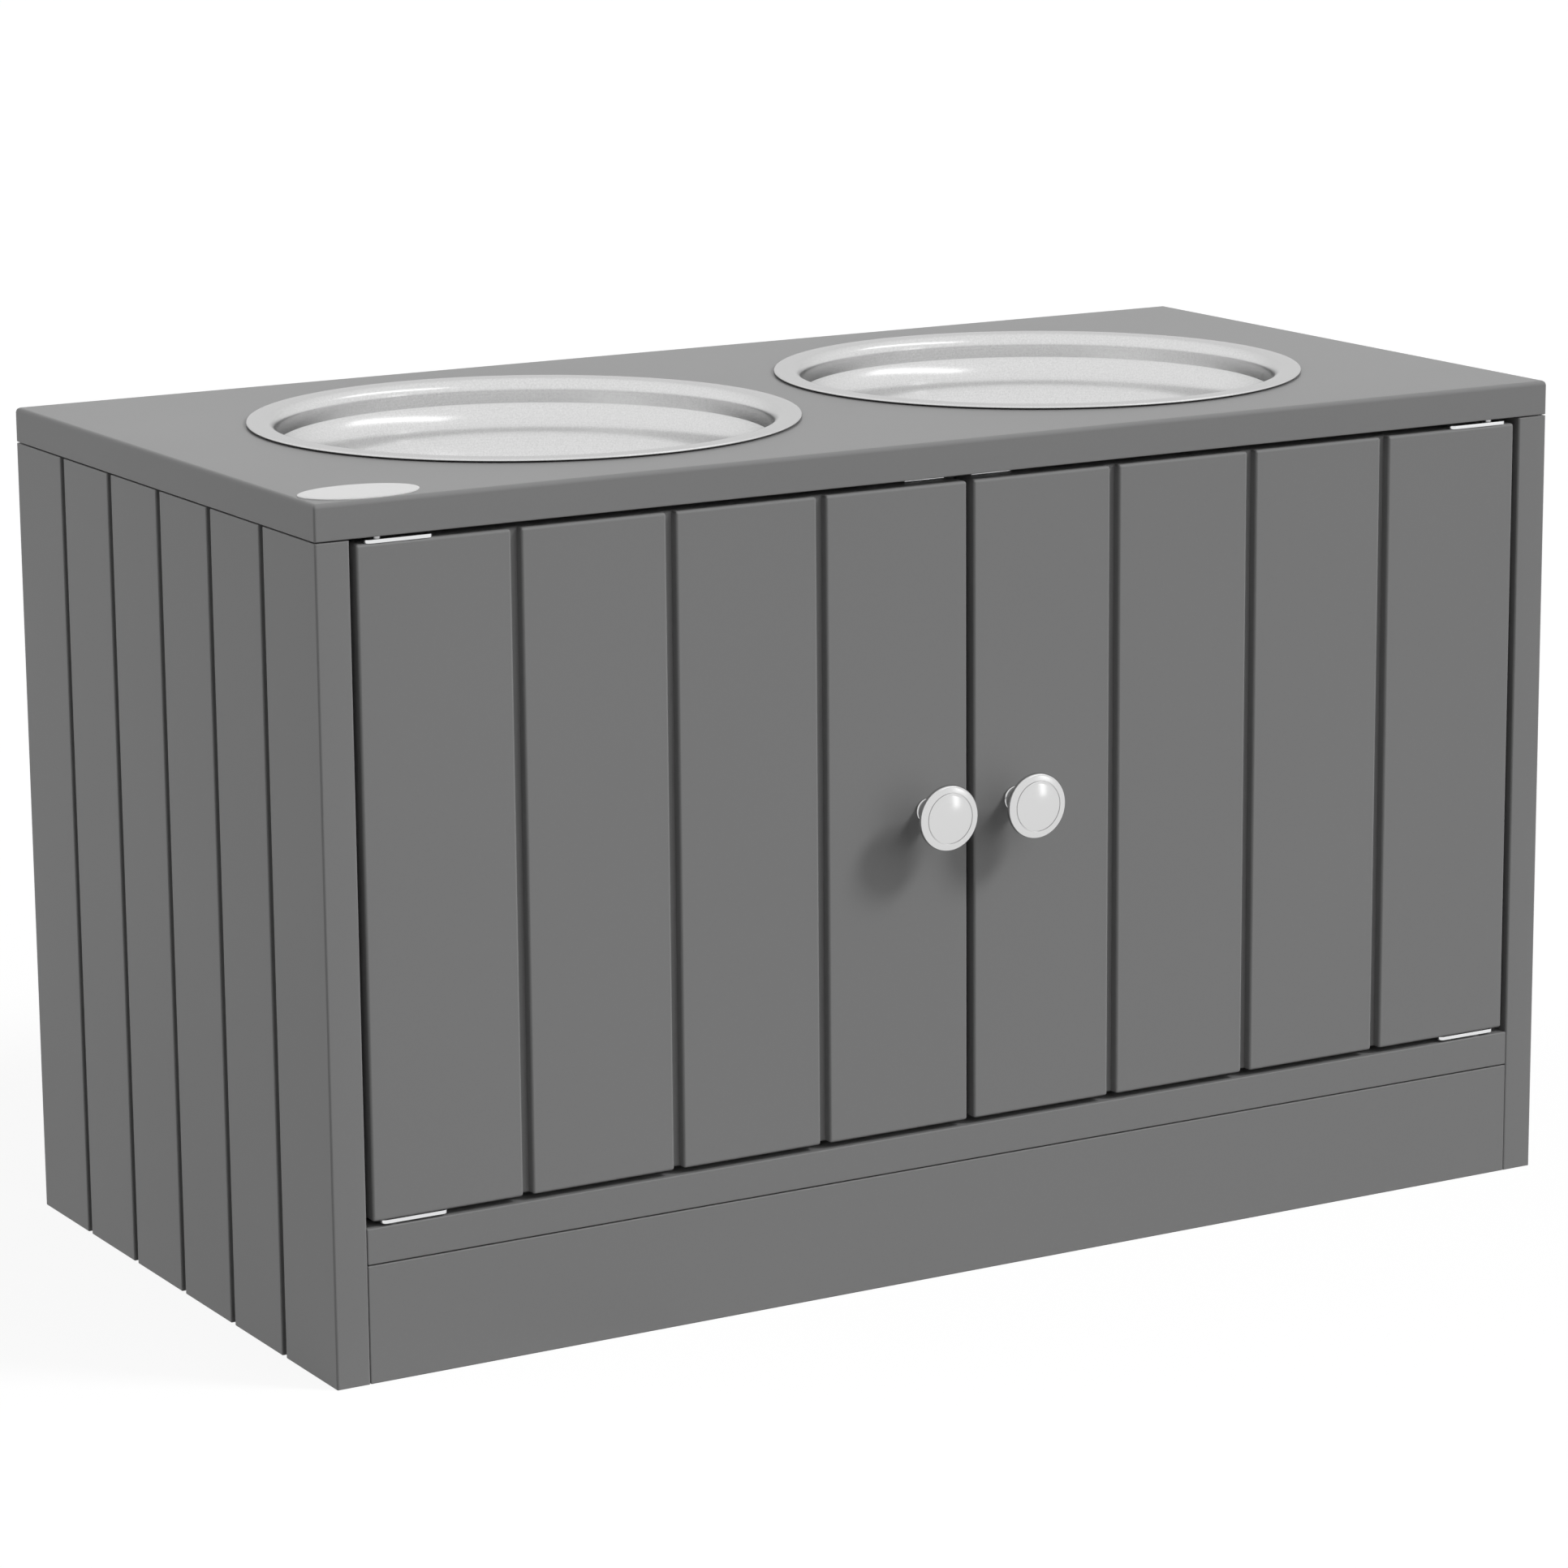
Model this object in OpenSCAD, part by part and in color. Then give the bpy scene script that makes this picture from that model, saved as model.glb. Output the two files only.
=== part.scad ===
// Elevated pet feeder with storage: a low cabinet with two grooved doors, and a
// top board that carries two lift-out steel bowls.
// X runs to the right, Y to the back and Z up. The origin is on the floor, under
// the middle of the outline, which the knobs carry forward of the doors.

/* [Cabinet] */
// Width over the side panels and over the top board
cab_w = 600; // [540:1:720]
// Depth from the front edges to the rear edges, without the knobs
cab_d = 300; // [280:1:360]
// Height of the top board's upper face above the floor
cab_h = 360; // [300:1:460]
// Thickness of the top, side, bottom and kick boards
board_t = 15; // [15:0.5:19]
// Height of the bottom board's underside above the floor
kick_h = 50; // [40:1:90]
// Width of the bevel that eases the edges of every board
ease = 1; // [0.4:0.1:1.2]
// Clearance around pieces that are fitted tight, such as dowels and screws
snug = 0.05; // [0.02:0.01:0.12]

/* [Back panel] */
// Thickness of the hardboard back panel
back_t = 3; // [2.5:0.1:4]
// Distance from the rear edges to the back panel's rear face
back_inset = 10; // [6:0.5:14]
// Depth of the grooves that hold the back panel's four edges
back_bite = 5; // [3:0.5:6]

/* [Side planks] */
// Number of planks that the grooves draw on each side panel
side_planks = 6; // [5:1:7]
// Width of the grooves in the side panels
side_groove_w = 3.6; // [2:0.1:5]
// Depth of the grooves in the side panels
side_groove_d = 3; // [1.8:0.1:3.4]
// Bevel along the plank edges beside each groove
plank_ease = 1.4; // [0.5:0.1:1.8]

/* [Doors] */
// Thickness of the two doors
door_t = 15; // [13:0.5:18]
// Number of planks that the grooves draw on each door
door_planks = 4; // [3:1:5]
// Width of the grooves in the doors
door_groove_w = 4.4; // [2:0.1:6]
// Depth of the grooves in the doors
door_groove_d = 4; // [1.8:0.1:5]
// Gap between a door and the side panel beside it
door_side_gap = 2.8; // [2.2:0.1:4]
// Gap between the two doors
door_mid_gap = 3.4; // [2:0.1:5]

/* [Hinges] */
// Length of a hinge plate along the door
hinge_l = 30; // [28:1:44]
// Width of a hinge plate across the door's edge
hinge_w = 12; // [10.5:0.5:13]
// Thickness of a hinge plate
hinge_t = 1.6; // [1.2:0.1:2.5]
// Corner radius of a hinge plate
hinge_corner = 2.5; // [1:0.5:4]
// Running gap between a hinge plate and the board that it faces
hinge_gap = 1; // [0.6:0.1:2]
// Distance from the door's outer edge to the near end of the plate
hinge_in = 4; // [3:0.5:6]
// Distance from the door's outer edge to the pivot pin's axis
pivot_in = 11; // [10.5:0.1:12]
// Distance from the door's front face back to the pivot pin's axis
pivot_back = 5; // [4.8:0.1:6]
// Radius of the pivot pin
pin_r = 2; // [1.5:0.1:2.2]
// Length of pin that stands in the bush
pin_reach = 7.5; // [5:0.5:9]
// Length of the pin's riveted tail below the plate
pin_tail = 2; // [1:0.1:3]
// Running clearance between the pin and its bush, on the radius
pin_clear = 0.08; // [0.05:0.01:0.1]
// Wall thickness of the bush
bush_wall = 1.4; // [1:0.1:1.6]
// Length of the bush
bush_l = 9; // [6:0.5:10]

/* [Small screws] */
// Shank radius of the wood screws
screw_r = 1.5; // [1.2:0.1:1.8]
// Head radius of the wood screws
screw_head_r = 2.9; // [2.6:0.1:3.4]
// Length of the screws in the hinge plates
hinge_screw_l = 16; // [12:1:30]
// Length of the screws in the strike plates
strike_screw_l = 10; // [7:0.5:10.5]

/* [Knobs] */
// Radius of the knob's head
knob_r = 14; // [12:0.1:18]
// Distance that the knob stands out from the door
knob_out = 20; // [17:0.5:30]
// Thickness of the knob's head at its edge
knob_rim = 2.8; // [2.4:0.1:5]
// Radius of the knob's foot against the door
knob_foot_r = 5.4; // [5.2:0.1:9]
// Radius of the knob's neck
knob_neck_r = 4.4; // [3.6:0.1:5]
// Radius of the fine ring cut in the knob's face
knob_ring_r = 10.8; // [7:0.1:11]
// Distance from the door's free edge to the knob's axis
knob_in = 20; // [18:0.5:40]
// Radius of the knob's screw
knob_screw_r = 2; // [1.5:0.1:2.5]
// Depth that the screw reaches into the knob
knob_screw_in = 9; // [6:0.5:11]
// Radius of the head of the knob's screw
knob_screw_head_r = 4; // [3.5:0.1:5]
// Height of the head of the knob's screw
knob_screw_head_h = 2.4; // [1.8:0.1:3]

/* [Bowls] */
// Distance between the two bowls' axes
bowl_pitch = 259; // [254:1:280]
// Outer radius of the bowl's rim
bowl_r = 118; // [110:0.5:124]
// Width of the bowl's flat rim, from its edge to the neck
rim_w = 12.2; // [9:0.1:16]
// Thickness of the bowl's sheet steel
sheet_t = 0.8; // [0.6:0.1:1.2]
// Height of the rim's upper face above the top board
rim_rise = 1.6; // [1.5:0.1:3]
// Gap between the rolled lip and the board that it rests on
rim_seat = 0.2; // [0.1:0.05:0.3]
// Radius of the roll at the rim's outer edge, outside
lip_roll = 1.2; // [0.9:0.05:1.3]
// Inner radius of the bend between rim and neck
neck_bend = 3.5; // [2:0.1:4.5]
// Height from the rim's upper face down to the foot of the upright neck
neck_h = 10.6; // [8:0.1:14]
// Radius of the rounded shoulder under the neck
shoulder_r = 16; // [8:0.5:20]
// Turn of the shoulder from its head down to the upright wall, in degrees
shoulder_turn = 50; // [30:1:60]
// Depth inside the bowl, from the rim to the flat base
bowl_depth = 55; // [45:0.5:75]
// Radius of the bowl's flat base
base_r = 66; // [50:0.5:74]
// Clearance between the neck and the cut-out in the top board
cutout_clear = 1.2; // [0.6:0.1:3]

/* [Magnetic catch] */
// Width of the catch housing
catch_w = 78; // [72:1:96]
// Depth of the catch housing, front to back
catch_d = 14; // [11:0.5:20]
// Height of the catch housing
catch_h = 12; // [11:0.5:16]
// Gap between the magnets' pole plates and the strike plates
catch_gap = 0.4; // [0.3:0.05:1]
// Distance that the pole plates stand out of the housing
pole_out = 0.6; // [0.3:0.1:1.5]
// Thickness of a pole plate
pole_t = 1.2; // [0.8:0.1:1.5]
// Height of a magnet
magnet_h = 4; // [3:0.1:4.5]
// Depth of a magnet, front to back
magnet_d = 7; // [4:0.1:8]
// Width of a magnet and of its strike plate
strike_w = 19.2; // [14:0.1:20]
// Distance from the middle of the cabinet to a strike plate's middle
strike_mid = 16.3; // [14:0.1:18]
// Thickness of a strike plate
strike_t = 1; // [0.7:0.1:1.2]
// Height of a strike plate on the rear of the door
strike_h = 19; // [18:0.5:26]
// Distance that a strike plate wraps over the top of the door
strike_wrap = 5; // [3:0.1:7]
// Length of catch screw that bites into the top board
catch_bite = 9; // [6:0.5:11]

/* [Cam fittings and dowels] */
// Radius of the cams' pockets
cam_r = 7.5; // [6:0.1:8]
// Height of a cam
cam_h = 11.5; // [10.5:0.1:12]
// Distance from a joint to the cam's axis
cam_in = 24; // [20:0.5:34]
// Radius of a cam bolt's shank
bolt_r = 3; // [2.6:0.1:3.4]
// Length of cam bolt that bites into the board's face
bolt_bite = 10; // [7:0.5:11]
// Radius of the wooden dowels
dowel_r = 4; // [3:0.1:4.5]
// Length of the wooden dowels
dowel_l = 30; // [24:1:40]
// Length of dowel that stands in the board's face
dowel_bite = 10; // [7:0.5:11]

/* [Badge] */
// Length of the blank oval badge
badge_l = 51; // [30:1:60]
// Width of the blank oval badge
badge_w = 32; // [16:1:34]
// Thickness of the blank oval badge
badge_t = 0.6; // [0.3:0.1:1]
// Distance from the top board's left edge to the badge's middle
badge_in = 28; // [27:1:40]
// Distance from the top board's front edge to the badge's middle
badge_back = 18; // [17.5:0.5:26]

/* [Hidden] */
$fn = 64;

// How far a cut runs past the face that it opens
over = 1;
// Spare depth at the end of a blind hole
spare = 0.5;
// Thread radius of a cam bolt, as a share of its shank's
thread_share = 0.8;
// Radius of the smaller end of a screw's head, as a share of its larger end's
head_share = 0.8;
// Metal left beside the screw heads in a hinge plate and between a head and the pin
hinge_margin = 2.2;
// Material left beside the screws in the catch housing and in the strike plates
catch_margin = 1.6;
strike_margin = 1.2;
// Width of the bevel that eases the edges of the catch housing
catch_ease = 0.6;
// Free depth in front of the magnets, between the pole plates
magnet_back = 1.5;

// Planes and places of the cabinet
front = knob_out - (cab_d + knob_out) / 2;
rear = front + cab_d;
mid_y = front + cab_d / 2;
side_h = cab_h - board_t;
inner_x = cab_w / 2 - board_t;
floor_z = kick_h + board_t;
side_pitch = cab_d / side_planks;
cam_ys = [front + 1.5 * side_pitch, rear - 1.5 * side_pitch];
dowel_ys = [front + side_pitch / 2, rear - side_pitch / 2];
kick_zs = [kick_h * 0.3, kick_h * 0.7];
back_front = rear - back_inset - back_t;

// Places of the doors
door_edge = inner_x - door_side_gap;
door_w = door_edge - door_mid_gap / 2;
door_z0 = floor_z + hinge_gap + hinge_t;
door_z1 = side_h - hinge_gap - hinge_t;
door_h = door_z1 - door_z0;
door_back = front + door_t;
pivot_x = door_edge - pivot_in;
pivot_y = front + pivot_back;
bush_r = pin_r + pin_clear + bush_wall;
knob_x = door_mid_gap / 2 + knob_in;
knob_z = (door_z0 + door_z1) / 2;

// Places along a hinge plate, from its outer end
plate_pin_x = pivot_in - hinge_in;
plate_screw_xs = [plate_pin_x + pin_r + hinge_margin + screw_head_r, hinge_l - hinge_margin - screw_head_r];

// Places of the catch
catch_front = door_back + strike_t + catch_gap + pole_out;
catch_screw_x = catch_w / 2 - screw_head_r - catch_margin;
magnet_z = side_h - catch_h / 2;
slot_h = magnet_h + 2 * pole_t + 4 * snug;
slot_d = magnet_d + magnet_back;
strike_screw_z = door_z1 + strike_t - strike_h + screw_head_r + strike_margin;

// Sizes of the bowl, measured on its inner skin
rim_z = cab_h + rim_rise;
neck_in_r = bowl_r - rim_w;
cutout_r = neck_in_r + sheet_t + cutout_clear;
shoulder_z = rim_z - neck_h;
wall_z = shoulder_z - shoulder_r * sin(shoulder_turn);
wall_r = neck_in_r - shoulder_r * (1 - cos(shoulder_turn));
base_z = rim_z - bowl_depth;

paint = [0.46, 0.46, 0.465];
steel = [0.86, 0.86, 0.86];
zinc = [0.78, 0.79, 0.8];
wood = [0.8, 0.68, 0.5];
plastic = [0.55, 0.55, 0.55];
hardboard = [0.5, 0.5, 0.5];

// Rectangle with bevelled corners
module eased_rect(w, h, e) {
    polygon([[e, 0], [w - e, 0], [w, e], [w, h - e], [w - e, h], [e, h], [0, h - e], [0, e]]);
}

// Block from the origin with all twelve edges bevelled
module eased_block(s, e) {
    intersection() {
        linear_extrude(s.z) eased_rect(s.x, s.y, e);
        translate([0, s.y, 0]) rotate([90, 0, 0]) linear_extrude(s.y) eased_rect(s.x, s.z, e);
        rotate([90, 0, 90]) linear_extrude(s.x) eased_rect(s.y, s.z, e);
    }
}

// Points of n planks along a face at y = 0, with grooves w wide and d deep between them
function groove_points(len, n, w, d) = [
    for (i = [1:n - 1]) let (mid = i * len / n) each [
        [mid - w / 2 - plank_ease, 0], [mid - w / 2, plank_ease], [mid - w / 2, d],
        [mid + w / 2, d], [mid + w / 2, plank_ease], [mid + w / 2 + plank_ease, 0]
    ]
];

// Board that stands on its end, grooved into planks on its face at y = 0
module planked_board(len, t, h, n, w, d) {
    outline = concat(
        [[ease, 0]], groove_points(len, n, w, d),
        [[len - ease, 0], [len, ease], [len, t - ease], [len - ease, t], [ease, t], [0, t - ease], [0, ease]]
    );
    intersection() {
        linear_extrude(h) polygon(outline);
        translate([0, t, 0]) rotate([90, 0, 0]) linear_extrude(t) eased_rect(len, h, ease);
        rotate([90, 0, 90]) linear_extrude(len) eased_rect(t, h, ease);
    }
}

// Points of an arc around [cx, cy]
function arc_points(cx, cy, r, from, to, steps) = [
    for (i = [0:steps]) let (a = from + (to - from) * i / steps) [cx + r * cos(a), cy + r * sin(a)]
];

// Both the left and the right copy of what is drawn on the right
module both_sides() {
    children();
    mirror([1, 0, 0]) children();
}

// Both the upper and the lower copy of what is drawn at a door's upper end
module both_ends() {
    children();
    translate([0, 0, door_z0 + door_z1]) mirror([0, 0, 1]) children();
}

// Fasteners run along +Z through the joint plane at z = 0

module dowel() {
    tip = dowel_r / 4;
    rotate_extrude() polygon([
        [0, dowel_bite - dowel_l], [dowel_r - tip, dowel_bite - dowel_l],
        [dowel_r, dowel_bite - dowel_l + tip], [dowel_r, dowel_bite - tip],
        [dowel_r - tip, dowel_bite], [0, dowel_bite]
    ]);
}

module dowel_hole() {
    translate([0, 0, dowel_bite - dowel_l - spare])
        cylinder(r = dowel_r + snug, h = dowel_l + 2 * spare);
}

// Cam bolt: its thread bites the face board above z = 0, its head sits in the cam below
module cam_bolt() {
    thread_r = bolt_r * thread_share;
    neck_r = bolt_r * 0.55;
    neck_end = cam_r * 0.7 - cam_in;
    taper = 1;
    rotate_extrude() polygon([
        [0, -cam_in - bolt_r], [bolt_r - taper, -cam_in - bolt_r], [bolt_r, -cam_in - bolt_r + taper],
        [bolt_r, -cam_in], [neck_r, -cam_in + taper], [neck_r, neck_end],
        [bolt_r, neck_end + taper], [bolt_r, 0], [thread_r, 0],
        [thread_r, bolt_bite - taper], [thread_r - taper, bolt_bite], [0, bolt_bite]
    ]);
}

module cam_bolt_hole() {
    translate([0, 0, -cam_in]) cylinder(r = bolt_r + 2 * snug, h = cam_in);
    translate([0, 0, -over]) cylinder(r = bolt_r * thread_share + snug, h = bolt_bite + over + spare);
}

// Cam: its face is at z = 0 and looks along +Z, and the bolt comes in along +X
module cam() {
    slot_l = cam_r * 1.2;
    slot_w = cam_r * 0.2;
    slot_depth = 2;
    bolt_end = -bolt_r - 1;
    difference() {
        translate([0, 0, -cam_h]) cylinder(r = cam_r - snug, h = cam_h);
        translate([bolt_end, 0, -board_t / 2]) rotate([0, 90, 0])
            cylinder(r = bolt_r + 4 * snug, h = cam_r - bolt_end + over);
        for (turn = [0, 90]) rotate([0, 0, turn])
            translate([-slot_l / 2, -slot_w / 2, -slot_depth]) cube([slot_l, slot_w, slot_depth + over]);
    }
}

module cam_pocket() {
    translate([0, 0, -cam_h - spare]) cylinder(r = cam_r, h = cam_h + spare + over);
}

// Countersunk screw along -Z, its flat head's face at z = 0
module sunk_screw(len) {
    sink = screw_head_r - screw_r;
    rotate_extrude() polygon([
        [0, 0], [screw_head_r, 0], [screw_r, -sink], [screw_r, -len + screw_r], [0, -len]
    ]);
}

// Hole for a countersunk screw along -Z
module sunk_hole(len) {
    sink = screw_head_r - screw_r;
    rotate_extrude() polygon([
        [0, over], [screw_head_r + snug, over], [screw_head_r + snug, 0],
        [screw_r + snug, -sink], [screw_r + snug, -len - spare], [0, -len - spare]
    ]);
}

// Joints are placed on the right; the left is their mirror image

// Where the side panel's top edge meets the top board
module at_top_joint(ys) {
    for (y = ys) translate([cab_w / 2 - board_t / 2, y, side_h]) children();
}

// Where the bottom board's end meets the side panel
module at_bottom_joint(ys) {
    for (y = ys) translate([inner_x, y, kick_h + board_t / 2]) rotate([0, 90, 0]) children();
}

// Where the kickboard's end meets the side panel
module at_kick_joint() {
    for (z = kick_zs) translate([inner_x, front + board_t / 2, z]) rotate([0, 90, 0]) children();
}

module at_top_cam() {
    for (y = cam_ys) translate([inner_x, y, side_h - cam_in]) rotate([0, -90, 0]) children();
}

module at_bottom_cam() {
    for (y = cam_ys) translate([inner_x - cam_in, y, kick_h]) rotate([180, 0, 0]) children();
}

// Pivot axes at the boards' faces, looking into the board
module at_top_pivot() {
    translate([pivot_x, pivot_y, side_h]) children();
}

module at_bottom_pivot() {
    translate([pivot_x, pivot_y, floor_z]) mirror([0, 0, 1]) children();
}

module bush_hole() {
    translate([0, 0, -over]) cylinder(r = bush_r + snug, h = bush_l + spare + over);
}

// Slab that the back panel fills, with its clearance where grooves are cut
module back_slab(clear) {
    translate([-inner_x - back_bite - clear, back_front - clear, floor_z - back_bite - clear])
        cube([
            2 * (inner_x + back_bite + clear), back_t + 2 * clear,
            side_h - floor_z + 2 * (back_bite + clear)
        ]);
}

module top_board() {
    color(paint) difference() {
        translate([-cab_w / 2, front, side_h]) eased_block([cab_w, cab_d, board_t], ease);
        both_sides() {
            translate([bowl_pitch / 2, mid_y, side_h - over]) cylinder(r = cutout_r, h = board_t + 2 * over, $fn = 128);
            at_top_joint(dowel_ys) dowel_hole();
            at_top_joint(cam_ys) cam_bolt_hole();
            at_top_pivot() bush_hole();
            translate([catch_screw_x, catch_front + catch_d / 2, side_h - over])
                cylinder(r = screw_r + snug, h = catch_bite + spare + over);
        }
        back_slab(snug);
    }
}

// Side panel, drawn on the right with its grooves on the outer face
module side_panel() {
    color(paint) difference() {
        translate([cab_w / 2, front, 0]) rotate([0, 0, 90])
            planked_board(cab_d, board_t, side_h, side_planks, side_groove_w, side_groove_d);
        at_top_joint(dowel_ys) dowel_hole();
        at_top_joint(cam_ys) cam_bolt_hole();
        at_top_cam() cam_pocket();
        at_bottom_joint(dowel_ys) dowel_hole();
        at_bottom_joint(cam_ys) cam_bolt_hole();
        at_kick_joint() dowel_hole();
        back_slab(snug);
    }
}

module left_side_panel() {
    mirror([1, 0, 0]) side_panel();
}

module right_side_panel() {
    side_panel();
}

module bottom_board() {
    color(paint) difference() {
        translate([-inner_x, front, kick_h]) eased_block([2 * inner_x, cab_d, board_t], ease);
        both_sides() {
            at_bottom_joint(dowel_ys) dowel_hole();
            at_bottom_joint(cam_ys) cam_bolt_hole();
            at_bottom_cam() cam_pocket();
            at_bottom_pivot() bush_hole();
        }
        back_slab(snug);
    }
}

module kickboard() {
    color(paint) difference() {
        translate([-inner_x, front, 0]) eased_block([2 * inner_x, board_t, kick_h], ease);
        both_sides() at_kick_joint() dowel_hole();
    }
}

module back_panel() {
    color(hardboard) back_slab(0);
}

module badge() {
    color("white") translate([badge_in - cab_w / 2, front + badge_back, cab_h]) linear_extrude(badge_t)
        polygon([for (a = [0:6:354]) [badge_l / 2 * cos(a), badge_w / 2 * sin(a)]]);
}

module pivot_bush() {
    difference() {
        cylinder(r = bush_r, h = bush_l);
        translate([0, 0, -over]) cylinder(r = pin_r + pin_clear, h = bush_l + 2 * over);
    }
}

module pivot_bushes() {
    color(plastic) both_sides() {
        at_top_pivot() pivot_bush();
        at_bottom_pivot() pivot_bush();
    }
}

module top_dowels() {
    color(wood) both_sides() at_top_joint(dowel_ys) dowel();
}

module top_cam_bolts() {
    color(zinc) both_sides() at_top_joint(cam_ys) cam_bolt();
}

module top_cams() {
    color(zinc) both_sides() at_top_cam() cam();
}

module bottom_dowels() {
    color(wood) both_sides() at_bottom_joint(dowel_ys) dowel();
}

module bottom_cam_bolts() {
    color(zinc) both_sides() at_bottom_joint(cam_ys) cam_bolt();
}

module bottom_cams() {
    color(zinc) both_sides() at_bottom_cam() cam();
}

module kickboard_dowels() {
    color(wood) both_sides() at_kick_joint() dowel();
}

// The magnetic catch hangs under the top board, behind the doors' free edges

module catch_housing() {
    color(plastic) difference() {
        translate([-catch_w / 2, catch_front, side_h - catch_h]) eased_block([catch_w, catch_d, catch_h], catch_ease);
        both_sides() {
            translate([strike_mid - strike_w / 2 - snug, catch_front - over, magnet_z - slot_h / 2])
                cube([strike_w + 2 * snug, slot_d + over, slot_h]);
            translate([catch_screw_x, catch_front + catch_d / 2, side_h - catch_h - over])
                cylinder(r = screw_r + 2 * snug, h = catch_h + 2 * over);
        }
    }
}

module catch_magnets() {
    color([0.25, 0.25, 0.26]) both_sides()
        translate([strike_mid - strike_w / 2, catch_front + slot_d - magnet_d, magnet_z - magnet_h / 2])
            cube([strike_w, magnet_d, magnet_h]);
}

module catch_pole_plates() {
    color(zinc) both_sides() for (side = [0, 1])
        translate([
            strike_mid - strike_w / 2, catch_front - pole_out,
            magnet_z - pole_t / 2 + (side - 0.5) * (magnet_h + pole_t + 2 * snug)
        ]) cube([strike_w, slot_d + pole_out, pole_t]);
}

// Pan-head screw along +Z, its head below z = 0
module pan_screw(len) {
    head_h = 1.8;
    translate([0, 0, -head_h]) cylinder(r1 = screw_head_r * head_share, r2 = screw_head_r, h = head_h);
    cylinder(r = screw_r, h = len);
}

module catch_screws() {
    color(zinc) both_sides()
        translate([catch_screw_x, catch_front + catch_d / 2, side_h - catch_h]) pan_screw(catch_h + catch_bite);
}

// A door is drawn on the right; the left one is its mirror image

// Hinge plate lies on the door's upper edge: x from its outer end inwards, y from the front face
module at_plate() {
    translate([door_edge - hinge_in, front, door_z1]) mirror([1, 0, 0]) children();
}

module at_plate_screws() {
    for (x = plate_screw_xs) translate([x, hinge_w / 2, hinge_t]) children();
}

module door_panel() {
    color(paint) difference() {
        translate([door_mid_gap / 2, front, door_z0])
            planked_board(door_w, door_t, door_h, door_planks, door_groove_w, door_groove_d);
        both_ends() at_plate() {
            at_plate_screws() sunk_hole(hinge_screw_l);
            translate([plate_pin_x, pivot_back, -pin_tail - spare])
                cylinder(r = pin_r + 4 * snug, h = pin_tail + spare + over);
        }
        translate([knob_x, door_back + over, knob_z]) rotate([90, 0, 0])
            cylinder(r = knob_screw_r + 3 * snug, h = door_t + 2 * over);
        at_strike_screw() sunk_hole(strike_screw_l);
    }
}

module hinge_plates() {
    c = hinge_corner;
    outline = concat(
        arc_points(c, c, c, 180, 270, 6), arc_points(hinge_l - c, c, c, 270, 360, 6),
        arc_points(hinge_l - c, hinge_w - c, c, 0, 90, 6), arc_points(c, hinge_w - c, c, 90, 180, 6)
    );
    color(zinc) both_ends() at_plate() difference() {
        linear_extrude(hinge_t) polygon(outline);
        at_plate_screws() sunk_hole(hinge_screw_l);
        translate([plate_pin_x, pivot_back, -over]) cylinder(r = pin_r + snug, h = hinge_t + 2 * over);
    }
}

module hinge_pins() {
    color(steel) both_ends() at_plate()
        translate([plate_pin_x, pivot_back, -pin_tail])
            cylinder(r = pin_r, h = pin_tail + hinge_t + hinge_gap + pin_reach);
}

module hinge_screws() {
    color(zinc) both_ends() at_plate() at_plate_screws() sunk_screw(hinge_screw_l);
}

// Mushroom knob, turned about Y with its foot on the door
module knob() {
    head = knob_out - knob_rim;
    half = head / 2;
    foot_h = 1.2;
    edge = 0.5;
    edge_drop = 0.15;
    face_rise = 1.1;
    ring_w = 0.3;
    ring_z = knob_out - face_rise;
    color(steel) translate([knob_x, front, knob_z]) rotate([90, 0, 0]) difference() {
        rotate_extrude() polygon(concat(
            [[0, 0], [knob_foot_r, 0], [knob_foot_r, foot_h]],
            [for (i = [1:6]) [
                knob_neck_r + (knob_foot_r - knob_neck_r) * pow(1 - i / 6, 2), foot_h + (half - foot_h) * i / 6
            ]],
            [for (i = [1:6]) let (a = 90 * i / 6) [
                knob_neck_r + (knob_r - edge - knob_neck_r) * (1 - cos(a)), half * (1 + sin(a))
            ]],
            [[knob_r, head + edge], [knob_r, ring_z - edge], [knob_r - edge, ring_z - edge_drop]],
            [[knob_ring_r + ring_w, ring_z], [knob_ring_r + ring_w, ring_z - 2 * ring_w]],
            [[knob_ring_r, ring_z - 2 * ring_w], [knob_ring_r, ring_z]],
            [for (i = [1:4]) [knob_ring_r * (1 - i / 4), knob_out - face_rise * pow(1 - i / 4, 2)]]
        ), $fn = 96);
        translate([0, 0, -over]) cylinder(r = knob_screw_r + snug, h = knob_screw_in + spare + over);
    }
}

// Screw from the rear of the door into the knob
module knob_screw() {
    color(zinc) translate([knob_x, door_back, knob_z]) rotate([90, 0, 0]) {
        translate([0, 0, -knob_screw_head_h])
            cylinder(r1 = knob_screw_head_r * head_share, r2 = knob_screw_head_r, h = knob_screw_head_h);
        cylinder(r = knob_screw_r, h = door_t + knob_screw_in);
    }
}

// Face of the strike plate's screw, looking back out of the door
module at_strike_screw() {
    translate([strike_mid, door_back + strike_t, strike_screw_z]) rotate([-90, 0, 0]) children();
}

module strike_plate() {
    color(zinc) difference() {
        translate([strike_mid - strike_w / 2, door_back, 0]) {
            translate([0, 0, door_z1 + strike_t - strike_h]) cube([strike_w, strike_t, strike_h]);
            translate([0, -strike_wrap, door_z1]) cube([strike_w, strike_wrap + strike_t, strike_t]);
        }
        at_strike_screw() sunk_hole(strike_screw_l);
    }
}

module strike_screw() {
    color(zinc) at_strike_screw() sunk_screw(strike_screw_l);
}

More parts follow.
